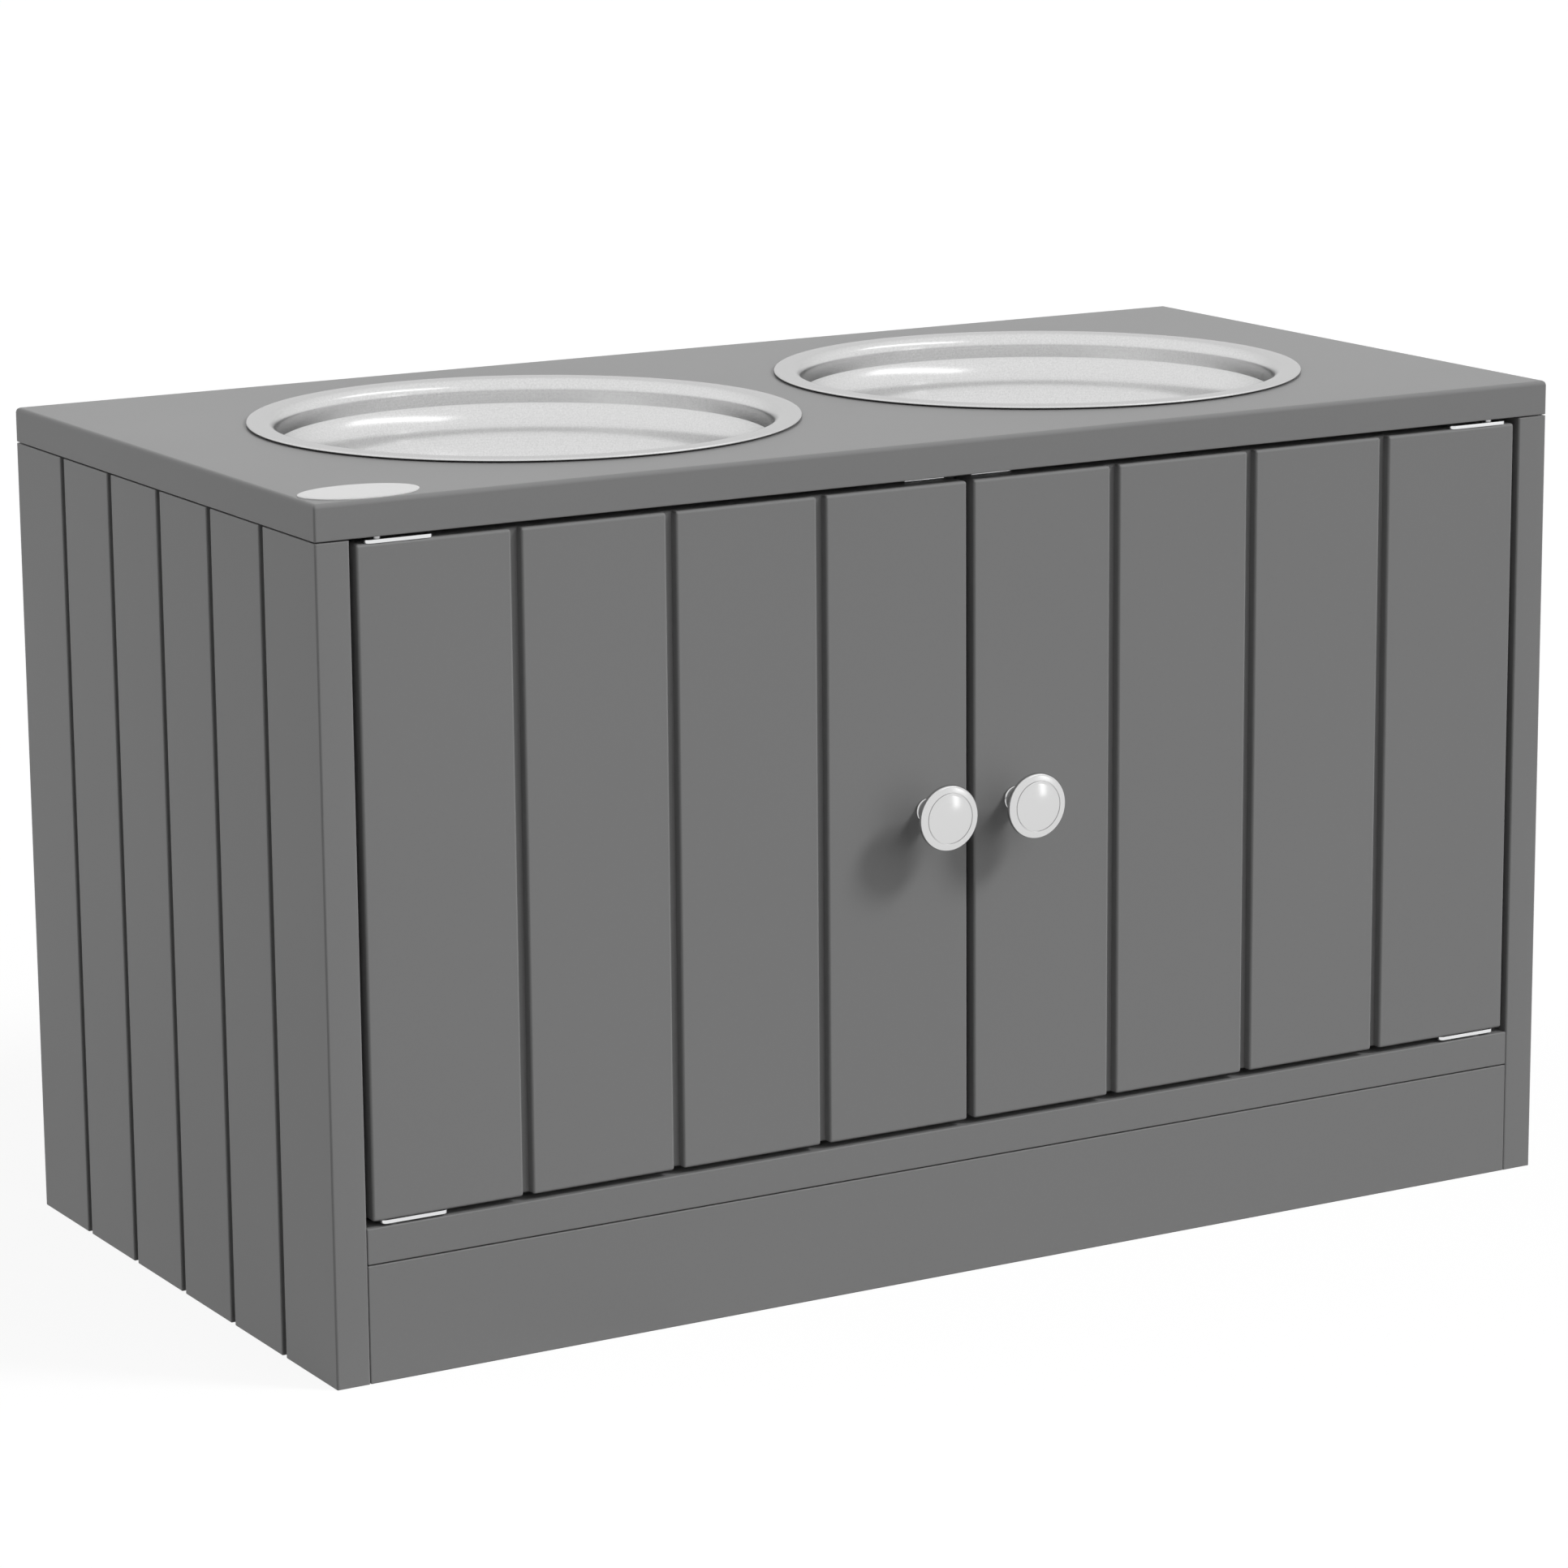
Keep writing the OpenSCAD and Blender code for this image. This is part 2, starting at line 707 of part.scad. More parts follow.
module left_door_panel() { mirror([1, 0, 0]) door_panel(); }
module left_hinge_plates() { mirror([1, 0, 0]) hinge_plates(); }
module left_hinge_pins() { mirror([1, 0, 0]) hinge_pins(); }
module left_hinge_screws() { mirror([1, 0, 0]) hinge_screws(); }
module left_knob() { mirror([1, 0, 0]) knob(); }
module left_knob_screw() { mirror([1, 0, 0]) knob_screw(); }
module left_strike_plate() { mirror([1, 0, 0]) strike_plate(); }
module left_strike_screw() { mirror([1, 0, 0]) strike_screw(); }
module right_door_panel() { door_panel(); }
module right_hinge_plates() { hinge_plates(); }
module right_hinge_pins() { hinge_pins(); }
module right_hinge_screws() { hinge_screws(); }
module right_knob() { knob(); }
module right_knob_screw() { knob_screw(); }
module right_strike_plate() { strike_plate(); }
module right_strike_screw() { strike_screw(); }

// Inner skin of the bowl from the middle of its base: base, curved wall, shoulder, neck, rim and lip
bowl_inner = concat(
    [[0, base_z]],
    [for (i = [0:10]) let (a = 90 * i / 10) [
        base_r + (wall_r - base_r) * sin(a), base_z + (wall_z - base_z) * (1 - cos(a))
    ]],
    [for (i = [1:5]) let (a = shoulder_turn * i / 5) [
        wall_r + shoulder_r * (1 - cos(a)), wall_z + shoulder_r * sin(a)
    ]],
    [for (i = [0:4]) let (a = 180 - 90 * i / 4) [
        neck_in_r + neck_bend + neck_bend * cos(a), rim_z - neck_bend + neck_bend * sin(a)
    ]],
    [for (i = [0:4]) let (a = 90 - 90 * i / 4) [
        bowl_r - lip_roll + lip_roll * cos(a), rim_z - lip_roll + lip_roll * sin(a)
    ]],
    [[bowl_r, cab_h + rim_seat]]
);

// Unit normal of the step from p to q, on its right
function step_normal(p, q) = [q.y - p.y, p.x - q.x] / norm(q - p);

// The same line moved t to its right, mitred at its corners
function beside(line, t) = [
    for (i = [0:len(line) - 1])
        let (
            before = step_normal(line[max(i, 1) - 1], line[max(i, 1)]),
            after = step_normal(line[min(i, len(line) - 2)], line[min(i, len(line) - 2) + 1]),
            mitre = (before + after) / (1 + before * after)
        ) line[i] + t * mitre
];

module bowl() {
    outer = beside(bowl_inner, sheet_t);
    color(steel) translate([bowl_pitch / 2, mid_y, 0])
        rotate_extrude($fn = 128) polygon(concat(bowl_inner, [for (i = [len(outer) - 1:-1:0]) outer[i]]));
}

module left_bowl() {
    mirror([1, 0, 0]) bowl();
}

module right_bowl() {
    bowl();
}

top_board();
left_side_panel();
right_side_panel();
bottom_board();
kickboard();
back_panel();
badge();
pivot_bushes();
top_dowels();
top_cam_bolts();
top_cams();
bottom_dowels();
bottom_cam_bolts();
bottom_cams();
kickboard_dowels();
catch_housing();
catch_magnets();
catch_pole_plates();
catch_screws();
left_door_panel();
left_hinge_plates();
left_hinge_pins();
left_hinge_screws();
left_knob();
left_knob_screw();
left_strike_plate();
left_strike_screw();
right_door_panel();
right_hinge_plates();
right_hinge_pins();
right_hinge_screws();
right_knob();
right_knob_screw();
right_strike_plate();
right_strike_screw();
left_bowl();
right_bowl();
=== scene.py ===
import math

import bmesh
import bpy
from mathutils import Matrix, Vector


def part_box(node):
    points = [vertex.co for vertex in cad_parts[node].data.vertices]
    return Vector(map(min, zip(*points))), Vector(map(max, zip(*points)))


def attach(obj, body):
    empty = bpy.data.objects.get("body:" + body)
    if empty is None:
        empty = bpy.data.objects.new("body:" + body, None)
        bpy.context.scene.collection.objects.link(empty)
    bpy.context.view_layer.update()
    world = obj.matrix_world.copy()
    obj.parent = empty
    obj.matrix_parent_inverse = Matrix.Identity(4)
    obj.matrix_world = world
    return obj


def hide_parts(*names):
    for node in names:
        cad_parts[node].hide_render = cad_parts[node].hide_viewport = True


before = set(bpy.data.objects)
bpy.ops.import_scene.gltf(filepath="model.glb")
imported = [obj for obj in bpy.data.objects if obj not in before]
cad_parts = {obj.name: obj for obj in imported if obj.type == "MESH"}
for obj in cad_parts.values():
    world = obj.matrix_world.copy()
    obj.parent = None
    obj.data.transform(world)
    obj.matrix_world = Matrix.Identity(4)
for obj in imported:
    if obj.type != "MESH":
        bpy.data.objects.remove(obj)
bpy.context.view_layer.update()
print("frame: loaded, with", len(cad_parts), "nodes")

mm = 0.001
near = 0.1 * mm                     # places closer than this count as the same
weld = 0.001 * mm                   # points closer than this become one
past = 1 * mm                       # how far a cutter stands out of what it cuts
sides = {"right": 1, "left": -1}    # the cabinet's sides, and their sign along X
bothSides = (1, -1)
sharpFrom = {"flat": 38, "small": 30, "turned": 40, "badge": 60}    # degrees at which an edge stays sharp


# Selecting, adding and shaping

def clearSelection():
    if bpy.context.mode != "OBJECT":
        bpy.ops.object.mode_set(mode="OBJECT")
    bpy.ops.object.select_all(action="DESELECT")


def activate(piece):
    clearSelection()
    piece.select_set(True)
    bpy.context.view_layer.objects.active = piece


def pick(piece, kind, test):
    # selects what passes the test, and leaves the piece in edit mode
    activate(piece)
    bpy.ops.object.mode_set(mode="EDIT")
    bpy.ops.mesh.select_mode(type=kind)
    bpy.ops.mesh.select_all(action="DESELECT")
    mesh = bmesh.from_edit_mesh(piece.data)
    parts = {"VERT": mesh.verts, "EDGE": mesh.edges, "FACE": mesh.faces}[kind]
    for part in parts:
        if test(part):
            part.select_set(True)
    bmesh.update_edit_mesh(piece.data)


def leaveEdit():
    bpy.ops.object.mode_set(mode="OBJECT")


def applyPlace():
    bpy.ops.object.transform_apply(location=True, rotation=True, scale=True)


def applyLast(piece):
    activate(piece)
    bpy.ops.object.modifier_apply(modifier=piece.modifiers[-1].name)


def addBlock(name, low, high):
    clearSelection()
    bpy.ops.mesh.primitive_cube_add(size=1, location=(low + high) / 2)
    piece = bpy.context.active_object
    piece.name = name
    piece.scale = high - low
    applyPlace()
    return piece


def addRod(name, start, end, radius, facets=48, endRadius=None):
    # a round bar, or a cone where the end has a radius of its own
    clearSelection()
    run = end - start
    bpy.ops.mesh.primitive_cone_add(
        vertices=facets, radius1=radius, radius2=radius if endRadius is None else endRadius,
        depth=run.length, location=(start + end) / 2, rotation=run.to_track_quat("Z", "Y").to_euler(),
    )
    applyPlace()
    piece = bpy.context.active_object
    piece.name = name
    return piece


def joinPieces(name, pieces):
    clearSelection()
    for piece in pieces:
        piece.select_set(True)
    bpy.context.view_layer.objects.active = pieces[0]
    if len(pieces) > 1:
        bpy.ops.object.join()
    pieces[0].name = name
    return pieces[0]


def cutWith(piece, cutters):
    cutter = joinPieces("cutter", cutters)
    cut = piece.modifiers.new("cut", "BOOLEAN")
    cut.operation = "DIFFERENCE"
    cut.solver = "EXACT"
    cut.object = cutter
    applyLast(piece)
    bpy.data.objects.remove(cutter)


def middleOf(edge):
    return (edge.verts[0].co + edge.verts[1].co) / 2


def isUpright(edge):
    run = edge.verts[1].co - edge.verts[0].co
    return abs(run.z) > 0.99 * run.length


def isCorner(edge):
    # an outer edge between faces that meet at more than 50 degrees
    return edge.is_convex and edge.calc_face_angle(0) > math.radians(50)


def roundCorners(piece, width, segments, shares=()):
    # rounds all corners; a share is (part of the width, which edges), and the first that fits holds
    def shareOf(edge):
        fits = [share for share, test in shares if test(edge)]
        return fits[0] if fits else 1

    for share in sorted({1} | {share for share, test in shares}):
        pick(piece, "EDGE", lambda edge: isCorner(edge) and shareOf(edge) == share)
        bpy.ops.transform.edge_bevelweight(value=share)
        leaveEdit()
    rounding = piece.modifiers.new("rounding", "BEVEL")
    rounding.limit_method = "WEIGHT"
    rounding.width = width
    rounding.segments = segments
    applyLast(piece)


def bevelEdges(piece, test, width, segments):
    pick(piece, "EDGE", test)
    bpy.ops.mesh.bevel(offset=width, segments=segments, affect="EDGES", clamp_overlap=False)
    leaveEdit()


def editAll(piece):
    activate(piece)
    bpy.ops.object.mode_set(mode="EDIT")
    bpy.ops.mesh.select_all(action="SELECT")


def closeSeams(piece):
    editAll(piece)
    bpy.ops.mesh.remove_doubles(threshold=weld)
    bpy.ops.mesh.normals_make_consistent(inside=False)
    leaveEdit()


def arc(centre, radius, start, end, steps):
    # points of a round stretch of a profile, angles in degrees from the radial direction
    turns = [math.radians(start + (end - start) * i / steps) for i in range(steps + 1)]
    return [(centre[0] + radius * math.cos(turn), centre[1] + radius * math.sin(turn)) for turn in turns]


def lathe(name, profile, foot, axis, steps):
    # turns a profile of (radius, height) points about an axis that starts at foot
    places = [foot + Vector((radius, 0, 0)) + axis * height for radius, height in profile]
    clearSelection()
    bpy.ops.mesh.primitive_plane_add(size=mm, location=places[0])
    applyPlace()
    piece = bpy.context.active_object
    piece.name = name
    bpy.ops.object.mode_set(mode="EDIT")
    bpy.ops.mesh.select_mode(type="VERT")
    bpy.ops.mesh.select_all(action="SELECT")
    bpy.ops.mesh.merge(type="CENTER")
    for here, there in zip(places, places[1:]):
        bpy.ops.mesh.extrude_region_move(TRANSFORM_OT_translate={"value": there - here})
    bpy.ops.mesh.select_all(action="SELECT")
    bpy.ops.mesh.spin(steps=steps, angle=2 * math.pi, center=foot, axis=axis)
    closeSeams(piece)
    return piece


def mirrored(piece, name, axis=0, about=0.0):
    # a copy with its own mesh, on the other side of the plane at about
    activate(piece)
    bpy.ops.object.duplicate(linked=False)
    copy = bpy.context.active_object
    copy.name = name
    copy.scale[axis] = -1
    copy.location[axis] = 2 * about
    applyPlace()
    closeSeams(copy)
    return copy


def copied(piece, name, where):
    # a copy with its own mesh, turned and moved by the matrix
    activate(piece)
    bpy.ops.object.duplicate(linked=False)
    copy = bpy.context.active_object
    copy.name = name
    copy.matrix_world = where
    applyPlace()
    return copy


def shade(piece, kind="flat", weighted=True):
    activate(piece)
    bpy.ops.object.shade_smooth_by_angle(angle=math.radians(sharpFrom[kind]))
    if weighted:
        flats = piece.modifiers.new("flats", "WEIGHTED_NORMAL")
        flats.keep_sharp = True
        applyLast(piece)


def place(piece, body, material, node):
    # gives a finished piece its material and its body, and hides the node that it stands for
    piece.data.materials.clear()
    piece.data.materials.append(material)
    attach(piece, body)
    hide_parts(node)


def dress(material, *nodes):
    # gives nodes that stay as they are a better material
    for name in nodes:
        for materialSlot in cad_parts[name].material_slots:
            materialSlot.material = material


# Finishes

def addNode(tree, kind, **settings):
    node = tree.nodes.new(kind)
    for name, value in settings.items():
        setattr(node, name, value)
    return node


def feed(tree, value, socket):
    # links the socket to another one, or sets it to a number
    if isinstance(value, bpy.types.NodeSocket):
        tree.links.new(value, socket)
    else:
        socket.default_value = value


def calculate(tree, operation, first, second):
    node = addNode(tree, "ShaderNodeMath", operation=operation)
    feed(tree, first, node.inputs[0])
    feed(tree, second, node.inputs[1])
    return node.outputs[0]


def noise(tree, vector, scale, detail, roughness=0.5):
    node = addNode(tree, "ShaderNodeTexNoise")
    node.inputs["Detail"].default_value = detail
    node.inputs["Roughness"].default_value = roughness
    feed(tree, scale, node.inputs["Scale"])
    tree.links.new(vector, node.inputs["Vector"])
    return node.outputs["Fac"]


def newGroup(name, inputs, outputs):
    tree = bpy.data.node_groups.new(name, "ShaderNodeTree")
    for label, kind, value in inputs:
        socket = tree.interface.new_socket(label, in_out="INPUT", socket_type=kind)
        if value is not None:
            socket.default_value = value
    for label, kind in outputs:
        tree.interface.new_socket(label, in_out="OUTPUT", socket_type=kind)
    return tree, addNode(tree, "NodeGroupInput").outputs, addNode(tree, "NodeGroupOutput").inputs


def around(tree, value, spread, middle=1.0):
    # turns a 0 to 1 pattern into a factor that swings about the middle
    swing = calculate(tree, "MULTIPLY", calculate(tree, "SUBTRACT", value, 0.5), spread)
    return calculate(tree, "ADD", swing, middle)


def makeMottle():
    # uneven tone and gloss: broad clouds with a fine grain over them
    tree, inputs, outputs = newGroup(
        "unevenCoat",
        [
            ("Vector", "NodeSocketVector", None), ("Tone", "NodeSocketColor", (0.5, 0.5, 0.5, 1)),
            ("Gloss", "NodeSocketFloat", 0.5), ("Clouds", "NodeSocketFloat", 12.0),
            ("Grain", "NodeSocketFloat", 600.0), ("Spread", "NodeSocketFloat", 0.05),
        ],
        [("Color", "NodeSocketColor"), ("Roughness", "NodeSocketFloat"), ("Height", "NodeSocketFloat")],
    )
    clouds = noise(tree, inputs["Vector"], inputs["Clouds"], 3)
    grain = noise(tree, inputs["Vector"], inputs["Grain"], 4, 0.6)
    both = calculate(tree, "MULTIPLY", calculate(tree, "ADD", clouds, grain), 0.5)
    tint = addNode(tree, "ShaderNodeHueSaturation")
    tree.links.new(inputs["Tone"], tint.inputs["Color"])
    tree.links.new(around(tree, both, inputs["Spread"]), tint.inputs["Value"])
    tree.links.new(tint.outputs["Color"], outputs["Color"])
    swing = around(tree, both, calculate(tree, "MULTIPLY", inputs["Spread"], 4))
    tree.links.new(calculate(tree, "MULTIPLY", inputs["Gloss"], swing), outputs["Roughness"])
    tree.links.new(grain, outputs["Height"])
    return tree


def makeRings():
    # fine rings left by spinning, about the Z axis of the vector
    tree, inputs, outputs = newGroup(
        "spunRings",
        [
            ("Vector", "NodeSocketVector", None), ("Gloss", "NodeSocketFloat", 0.25),
            ("Rings", "NodeSocketFloat", 2500.0), ("Grain", "NodeSocketFloat", 900.0),
            ("Share", "NodeSocketFloat", 0.5), ("Spread", "NodeSocketFloat", 0.3),
        ],
        [("Roughness", "NodeSocketFloat"), ("Height", "NodeSocketFloat"), ("Shade", "NodeSocketFloat")],
    )
    axes = addNode(tree, "ShaderNodeSeparateXYZ")
    tree.links.new(inputs["Vector"], axes.inputs[0])
    squares = [calculate(tree, "MULTIPLY", axes.outputs[i], axes.outputs[i]) for i in (0, 1)]
    radius = calculate(tree, "SQRT", calculate(tree, "ADD", *squares), 0)
    lines = addNode(tree, "ShaderNodeTexNoise", noise_dimensions="1D")
    lines.inputs["Detail"].default_value = 2
    lines.inputs["Scale"].default_value = 1
    run = calculate(tree, "MULTIPLY", calculate(tree, "ADD", radius, axes.outputs[2]), inputs["Rings"])
    tree.links.new(run, lines.inputs["W"])
    grain = noise(tree, inputs["Vector"], inputs["Grain"], 3, 0.7)
    blend = addNode(tree, "ShaderNodeMix", data_type="FLOAT")
    tree.links.new(inputs["Share"], blend.inputs["Factor"])
    tree.links.new(grain, blend.inputs["A"])
    tree.links.new(lines.outputs["Fac"], blend.inputs["B"])
    both = blend.outputs["Result"]
    gloss = calculate(tree, "MULTIPLY", inputs["Gloss"], around(tree, both, inputs["Spread"]))
    tree.links.new(gloss, outputs["Roughness"])
    tree.links.new(both, outputs["Height"])
    tree.links.new(around(tree, both, inputs["Spread"]), outputs["Shade"])
    return tree


def makeFibre():
    # streaks that run along the Z axis of the vector
    tree, inputs, outputs = newGroup(
        "woodFibre",
        [
            ("Vector", "NodeSocketVector", None), ("Light", "NodeSocketColor", (0.6, 0.5, 0.35, 1)),
            ("Dark", "NodeSocketColor", (0.4, 0.3, 0.2, 1)), ("Fibre", "NodeSocketFloat", 500.0),
        ],
        [("Color", "NodeSocketColor"), ("Height", "NodeSocketFloat")],
    )
    stretch = addNode(tree, "ShaderNodeMapping")
    stretch.inputs["Scale"].default_value = (1, 1, 0.05)
    tree.links.new(inputs["Vector"], stretch.inputs["Vector"])
    streaks = noise(tree, stretch.outputs["Vector"], inputs["Fibre"], 5, 0.65)
    blend = addNode(tree, "ShaderNodeMix", data_type="RGBA")
    tree.links.new(streaks, blend.inputs["Factor"])
    tree.links.new(inputs["Dark"], blend.inputs[6])
    tree.links.new(inputs["Light"], blend.inputs[7])
    tree.links.new(blend.outputs[2], outputs["Color"])
    tree.links.new(streaks, outputs["Height"])
    return tree


mottle = makeMottle()
rings = makeRings()
fibre = makeFibre()


def newMaterial(name, centre=(0, 0, 0), turn=(0, 0, 0)):
    # a Principled material, and the object's own coordinates, centred and turned
    material = bpy.data.materials.new(name)
    material.use_nodes = True
    tree = material.node_tree
    coordinates = addNode(tree, "ShaderNodeTexCoord")
    mapping = addNode(tree, "ShaderNodeMapping", vector_type="TEXTURE")
    mapping.inputs["Location"].default_value = centre
    mapping.inputs["Rotation"].default_value = turn
    tree.links.new(coordinates.outputs["Object"], mapping.inputs["Vector"])
    return material, tree, tree.nodes["Principled BSDF"], mapping.outputs["Vector"]


def useGroup(tree, group, vector, **values):
    node = addNode(tree, "ShaderNodeGroup", node_tree=group)
    tree.links.new(vector, node.inputs["Vector"])
    for label, value in values.items():
        node.inputs[label].default_value = value
    return node.outputs


def addBump(tree, height, shader, depth, strength):
    bump = addNode(tree, "ShaderNodeBump")
    bump.inputs["Distance"].default_value = depth
    bump.inputs["Strength"].default_value = strength
    tree.links.new(height, bump.inputs["Height"])
    tree.links.new(bump.outputs["Normal"], shader.inputs["Normal"])


def coated(name, values):
    # paint, lacquer, plastic or plated metal
    material, tree, shader, vector = newMaterial(name)
    shader.inputs["Metallic"].default_value = values.get("metal", 0)
    shader.inputs["Specular IOR Level"].default_value = values.get("specular", 0.5)
    coat = useGroup(
        tree, mottle, vector, Tone=(*values["tone"], 1), Gloss=values["gloss"],
        Clouds=values["clouds"], Grain=values["grain"], Spread=values["spread"],
    )
    tree.links.new(coat["Color"], shader.inputs["Base Color"])
    tree.links.new(coat["Roughness"], shader.inputs["Roughness"])
    addBump(tree, coat["Height"], shader, values["depth"], values["strength"])
    return material


def spun(name, values, centre, turn=(0, 0, 0)):
    # polished or brushed metal, with rings about its own axis
    material, tree, shader, vector = newMaterial(name, centre, turn)
    shader.inputs["Metallic"].default_value = 1
    shader.inputs["Specular Tint"].default_value = (values["edgeTone"],) * 3 + (1,)
    turned = useGroup(
        tree, rings, vector, Gloss=values["gloss"], Rings=values["rings"],
        Grain=values["grain"], Share=values["share"], Spread=values["spread"],
    )
    tint = addNode(tree, "ShaderNodeHueSaturation")
    tint.inputs["Color"].default_value = (*values["tone"], 1)
    shadeSwing = around(tree, turned["Shade"], values["shade"], 1 - values["shade"] / 2)
    tree.links.new(shadeSwing, tint.inputs["Value"])
    tree.links.new(tint.outputs["Color"], shader.inputs["Base Color"])
    tree.links.new(turned["Roughness"], shader.inputs["Roughness"])
    addBump(tree, turned["Height"], shader, values["depth"], values["strength"])
    return material


def wooden(name, values, turn=(0, 0, 0)):
    material, tree, shader, vector = newMaterial(name, turn=turn)
    shader.inputs["Roughness"].default_value = values["gloss"]
    grain = useGroup(
        tree, fibre, vector, Light=(*values["light"], 1), Dark=(*values["dark"], 1), Fibre=values["fibre"],
    )
    tree.links.new(grain["Color"], shader.inputs["Base Color"])
    addBump(tree, grain["Height"], shader, values["depth"], values["strength"])
    return material


greyPaint = coated("greyPaint", {
    "tone": (0.318, 0.318, 0.319), "gloss": 0.42, "clouds": 9, "grain": 620, "spread": 0.07,
    "depth": 0.06 * mm, "strength": 0.3, "specular": 0.3,
})
hardboardPaint = coated("hardboardPaint", {
    "tone": (0.25, 0.25, 0.25), "gloss": 0.62, "clouds": 18, "grain": 380, "spread": 0.12,
    "depth": 0.12 * mm, "strength": 0.5,
})
zincPlate = coated("zincPlate", {
    "tone": (0.78, 0.785, 0.79), "gloss": 0.24, "clouds": 60, "grain": 900, "spread": 0.1,
    "depth": 0.02 * mm, "strength": 0.3, "metal": 1,
})
castZinc = coated("castZinc", {
    "tone": (0.6, 0.605, 0.61), "gloss": 0.4, "clouds": 90, "grain": 1100, "spread": 0.16,
    "depth": 0.05 * mm, "strength": 0.4, "metal": 1,
})
pinSteel = coated("pinSteel", {
    "tone": (0.62, 0.62, 0.625), "gloss": 0.2, "clouds": 80, "grain": 1500, "spread": 0.1,
    "depth": 0.02 * mm, "strength": 0.3, "metal": 1,
})
magnetBlack = coated("magnetBlack", {
    "tone": (0.045, 0.045, 0.048), "gloss": 0.55, "clouds": 120, "grain": 1400, "spread": 0.3,
    "depth": 0.05 * mm, "strength": 0.5,
})
greyPlastic = coated("greyPlastic", {
    "tone": (0.3, 0.3, 0.3), "gloss": 0.38, "clouds": 40, "grain": 1300, "spread": 0.06,
    "depth": 0.03 * mm, "strength": 0.4,
})
badgeWhite = coated("badgeWhite", {
    "tone": (0.9, 0.9, 0.9), "gloss": 0.22, "clouds": 60, "grain": 900, "spread": 0.03,
    "depth": 0.01 * mm, "strength": 0.2,
})
dowelWood = wooden("dowelWood", {
    "light": (0.66, 0.5, 0.31), "dark": (0.42, 0.29, 0.16), "fibre": 700, "gloss": 0.6,
    "depth": 0.1 * mm, "strength": 0.5,
}, turn=(0, math.pi / 2, 0))
print("finishes: made")


# Boards

boardLook = {
    "edgeRound": 1.0 * mm,       # upright corners
    "seamRound": 0.5 * mm,       # edges that meet another board
    "topRound": 2.0 * mm,        # edges round the top board's upper face
    "topSteps": 4,
    "roundSteps": 3,
    "seam": 0.5 * mm,            # dark line between two boards
    "cutoutRadius": 107.8 * mm,  # holes that the bowls stand in
    "cutoutRound": 0.6 * mm,
    "cutoutSides": 160,
    "pocketRadius": 7.5 * mm,    # pockets of the cams
    "pocketDepth": 12 * mm,
    "bushRadius": 3.53 * mm,     # holes of the bushes that the hinge pins turn in
    "bushDepth": 9.5 * mm,
}

bowlLow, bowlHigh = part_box("right_bowl")
bowlCentre = (bowlLow + bowlHigh) / 2
pinLow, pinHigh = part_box("right_hinge_pins")
pivot = (pinLow + pinHigh) / 2


def bushHoles(board, upwards):
    low, high = board
    face = low.z if upwards else high.z
    step = 1 if upwards else -1
    return [
        addRod(
            "bushHole", Vector((side * pivot.x, pivot.y, face - step * past)),
            Vector((side * pivot.x, pivot.y, face + step * boardLook["bushDepth"])), boardLook["bushRadius"],
        )
        for side in bothSides
    ]


def makeTopBoard():
    low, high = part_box("top_board")
    board = addBlock("topBoard", low, high)
    shares = [
        (boardLook["edgeRound"] / boardLook["topRound"], isUpright),
        (boardLook["seamRound"] / boardLook["topRound"], lambda edge: middleOf(edge).z < high.z - mm),
    ]
    roundCorners(board, boardLook["topRound"], boardLook["topSteps"], shares)
    cutouts = [
        addRod(
            "cutout", Vector((side * bowlCentre.x, bowlCentre.y, low.z - past)),
            Vector((side * bowlCentre.x, bowlCentre.y, high.z + past)),
            boardLook["cutoutRadius"], boardLook["cutoutSides"],
        )
        for side in bothSides
    ]
    cutWith(board, cutouts + bushHoles((low, high), True))

    def onCutout(edge):
        middle = middleOf(edge)
        away = math.hypot(abs(middle.x) - bowlCentre.x, middle.y - bowlCentre.y)
        flat = abs(edge.verts[0].co.z - edge.verts[1].co.z) < near
        return flat and abs(away - boardLook["cutoutRadius"]) < near and isCorner(edge)

    bevelEdges(board, onCutout, boardLook["cutoutRound"], boardLook["roundSteps"])
    shade(board)
    place(board, "cabinet", greyPaint, "top_board")


def makeBottomBoard():
    low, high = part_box("bottom_board")
    camLow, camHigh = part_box("bottom_cams")
    radius = boardLook["pocketRadius"]
    board = addBlock("bottomBoard", low, high)
    roundCorners(board, boardLook["seamRound"], boardLook["roundSteps"])
    mouth = low.z - past
    end = low.z + boardLook["pocketDepth"]
    pockets = [
        addRod("pocket", Vector((x, y, mouth)), Vector((x, y, end)), radius)
        for x in (camLow.x + radius, camHigh.x - radius)
        for y in (camLow.y + radius, camHigh.y - radius)
    ]
    cutWith(board, pockets + bushHoles((low, high), False))
    shade(board)
    place(board, "cabinet", greyPaint, "bottom_board")


def makeKickboard():
    low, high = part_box("kickboard")
    board = addBlock("kickBoard", low, high - Vector((0, 0, boardLook["seam"])))
    roundCorners(board, boardLook["seamRound"], boardLook["roundSteps"])
    shade(board)
    place(board, "cabinet", greyPaint, "kickboard")


